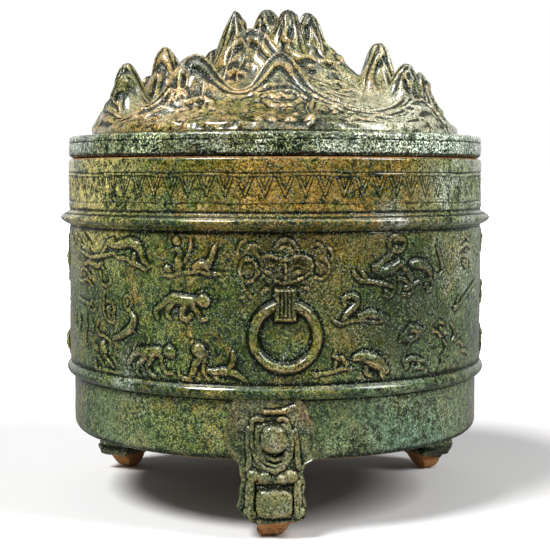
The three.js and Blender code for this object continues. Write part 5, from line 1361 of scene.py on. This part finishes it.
def bare_clay():
    """Unglazed earthenware, darkened to grey-brown below the clay's own orange so that the jar's underside throws
    little red light into the floor's shadow: a painted shade.
    """
    material, n, shader = new_material("bare_clay")
    clay = n.grouped(bare_earthenware, {"Place": n.place(), "Clay": (0.11, 0.085, 0.065), "Fresh": (0.17, 0.12, 0.08)})
    n.feed(shader, {"Base Color": clay["Color"], "Roughness": clay["Height"] * 0.2 + 0.75,
                    "Normal": n.bumped(clay["Height"], 0.5)})
    return material


# Stage

def pale_floor():
    """A matt white floor: far from the object it shows as plain white to the camera, and near it keeps its shadow;
    reflections see it dimmer, as a floor seen past a dark studio."""
    material, n, shader = new_material("pale_floor")
    path = n.outputs(n.node("ShaderNodeLightPath", {}))
    colour = n.mixed(path["Is Camera Ray"], (0.50, 0.50, 0.50), (1.0, 1.0, 1.0))
    far = n.ranged(n.near(n.place(), (50, 0, 0, 1000)), 0.85, 0.50)
    n.feed(shader, {
        "Base Color": n.mixed(path["Is Glossy Ray"], colour, (0.25, 0.25, 0.25)),
        "Roughness": 0.9, "Specular IOR Level": 0.0,
        "Emission Color": (1, 1, 1), "Emission Strength": far * path["Is Camera Ray"]})
    return material


def area_light(name, place, target, size, size_y, power):
    """A rectangular softbox turned to face a point."""
    light = bpy.data.lights.new(name, "AREA")
    light.shape = "RECTANGLE"
    light.size, light.size_y, light.energy = size, size_y, power
    lamp = put_in_scene(name, light)
    lamp.location = place
    way = np.array(target) - np.array(place)
    flat = math.hypot(way[0], way[1])
    lamp.rotation_euler = (math.atan2(flat, -way[2]), 0, math.atan2(way[0], -way[1]) + math.pi)


def even_light(name, tilt, turn, strength, spread):
    """A distant light, tilted from straight down, soft over a wide angle."""
    light = bpy.data.lights.new(name, "SUN")
    light.energy, light.angle = strength, math.radians(spread)
    put_in_scene(name, light).rotation_euler = (math.radians(tilt), 0, math.radians(turn))


def surroundings():
    """A white background for the camera; a soft light from above; and for reflections, dark in front and pale at the
    sides, behind and above."""
    world = bpy.data.worlds.new("surroundings")
    bpy.context.scene.world = world
    world.use_nodes = True
    n = Nodes(world.node_tree)
    path = n.outputs(n.node("ShaderNodeLightPath", {}))
    way = n.outputs(n.node("ShaderNodeSeparateXYZ", {0: n.made("TexCoord", {}, "Generated")}))
    behind = n.ranged(way["Y"], 0.10, 0.80) * n.ranged(way["Z"], 0.65, 0.20, 0.0, 0.75)
    above = n.ranged(way["Z"], 0.55, 0.92) * n.ranged(way["Y"], 0.60, 0.15, 0.0, 2.2)
    shiny = path["Is Glossy Ray"] * (behind + above - 0.14)
    ambient = n.maths("MAXIMUM", n.ranged(way["Z"], 0.0, 0.4, 0.05, 0.165) + shiny, 0.0)
    strength = ambient * (1.0 - path["Is Camera Ray"]) + path["Is Camera Ray"]
    n.feed(world.node_tree.nodes["Background"], {"Color": (1, 1, 1), "Strength": strength})


def build_stage():
    """Floor, surroundings, a key light from the upper left, a softbox on the right and the camera at the photograph's
    angle."""
    half = 30.0
    mesh = bpy.data.meshes.new("floor")
    mesh.from_pydata([(-half, -half, 0), (half, -half, 0), (half, half, 0), (-half, half, 0)], [], [(0, 1, 2, 3)])
    mesh.materials.append(pale_floor())
    floor = put_in_scene("floor", mesh)
    even_light("key_light", tilt=36.0, turn=-49.0, strength=3.1, spread=22.0)
    area_light("right_softbox", (0.75, -0.35, 0.75), target=(0.0, 0.0, 0.11), size=0.35, size_y=0.50, power=6.5)
    surroundings()
    camera = bpy.data.cameras.new("camera")
    camera.lens, camera.sensor_width = CAMERA_LENS, 36.0
    eye = put_in_scene("camera", camera)
    eye.location = CAMERA_PLACE
    eye.rotation_euler = (math.radians(90 - CAMERA_DOWN), 0, 0)
    bpy.context.scene.camera = eye
    bpy.context.scene.view_settings.view_transform = "Standard"


# Operators and panel

class CENSER_OT_jar(bpy.types.Operator):
    """Builds the jar's wall with its bands, frieze, masks and incised neck"""
    bl_idname = "censer.jar"
    bl_label = "Jar wall"

    def execute(self, context):
        build_jar()
        return {"FINISHED"}


class CENSER_OT_floor(bpy.types.Operator):
    """Builds the jar's bottom disc"""
    bl_idname = "censer.floor"
    bl_label = "Jar floor"

    def execute(self, context):
        build_floor()
        return {"FINISHED"}


class CENSER_OT_feet(bpy.types.Operator):
    """Builds the three bear feet"""
    bl_idname = "censer.feet"
    bl_label = "Bear feet"

    def execute(self, context):
        build_feet()
        return {"FINISHED"}


class CENSER_OT_flange(bpy.types.Operator):
    """Builds the lid's rim and locating ring"""
    bl_idname = "censer.flange"
    bl_label = "Lid rim"

    def execute(self, context):
        build_flange()
        return {"FINISHED"}


class CENSER_OT_hills(bpy.types.Operator):
    """Builds the lid's mountains"""
    bl_idname = "censer.hills"
    bl_label = "Lid mountains"

    def execute(self, context):
        build_hills()
        return {"FINISHED"}


class CENSER_OT_stage(bpy.types.Operator):
    """Builds the floor, the lights and the camera"""
    bl_idname = "censer.stage"
    bl_label = "Stage"

    def execute(self, context):
        build_stage()
        return {"FINISHED"}


OPERATORS = (CENSER_OT_jar, CENSER_OT_floor, CENSER_OT_feet, CENSER_OT_flange, CENSER_OT_hills, CENSER_OT_stage)


class CENSER_PT_panel(bpy.types.Panel):
    """Lists the builders"""
    bl_idname = "CENSER_PT_panel"
    bl_label = "Hill censer"
    bl_space_type = "VIEW_3D"
    bl_region_type = "UI"
    bl_category = "Hill censer"

    def draw(self, context):
        for operator in OPERATORS:
            self.layout.operator(operator.bl_idname)


GROUPS = {"censer_jar": JarSizes, "censer_lid": LidSizes, "censer_colours": GlazeColours}


def register():
    for entry in (*GROUPS.values(), *OPERATORS, CENSER_PT_panel):
        bpy.utils.register_class(entry)
    for name, entry in GROUPS.items():
        setattr(bpy.types.Scene, name, PointerProperty(type=entry))


def unregister():
    for name in GROUPS:
        delattr(bpy.types.Scene, name)
    for entry in reversed((*GROUPS.values(), *OPERATORS, CENSER_PT_panel)):
        bpy.utils.unregister_class(entry)


def main():
    register()
    bpy.ops.censer.jar()
    bpy.ops.censer.floor()
    bpy.ops.censer.feet()
    bpy.ops.censer.flange()
    bpy.ops.censer.hills()
    bpy.ops.censer.stage()


if __name__ == "__main__":
    main()
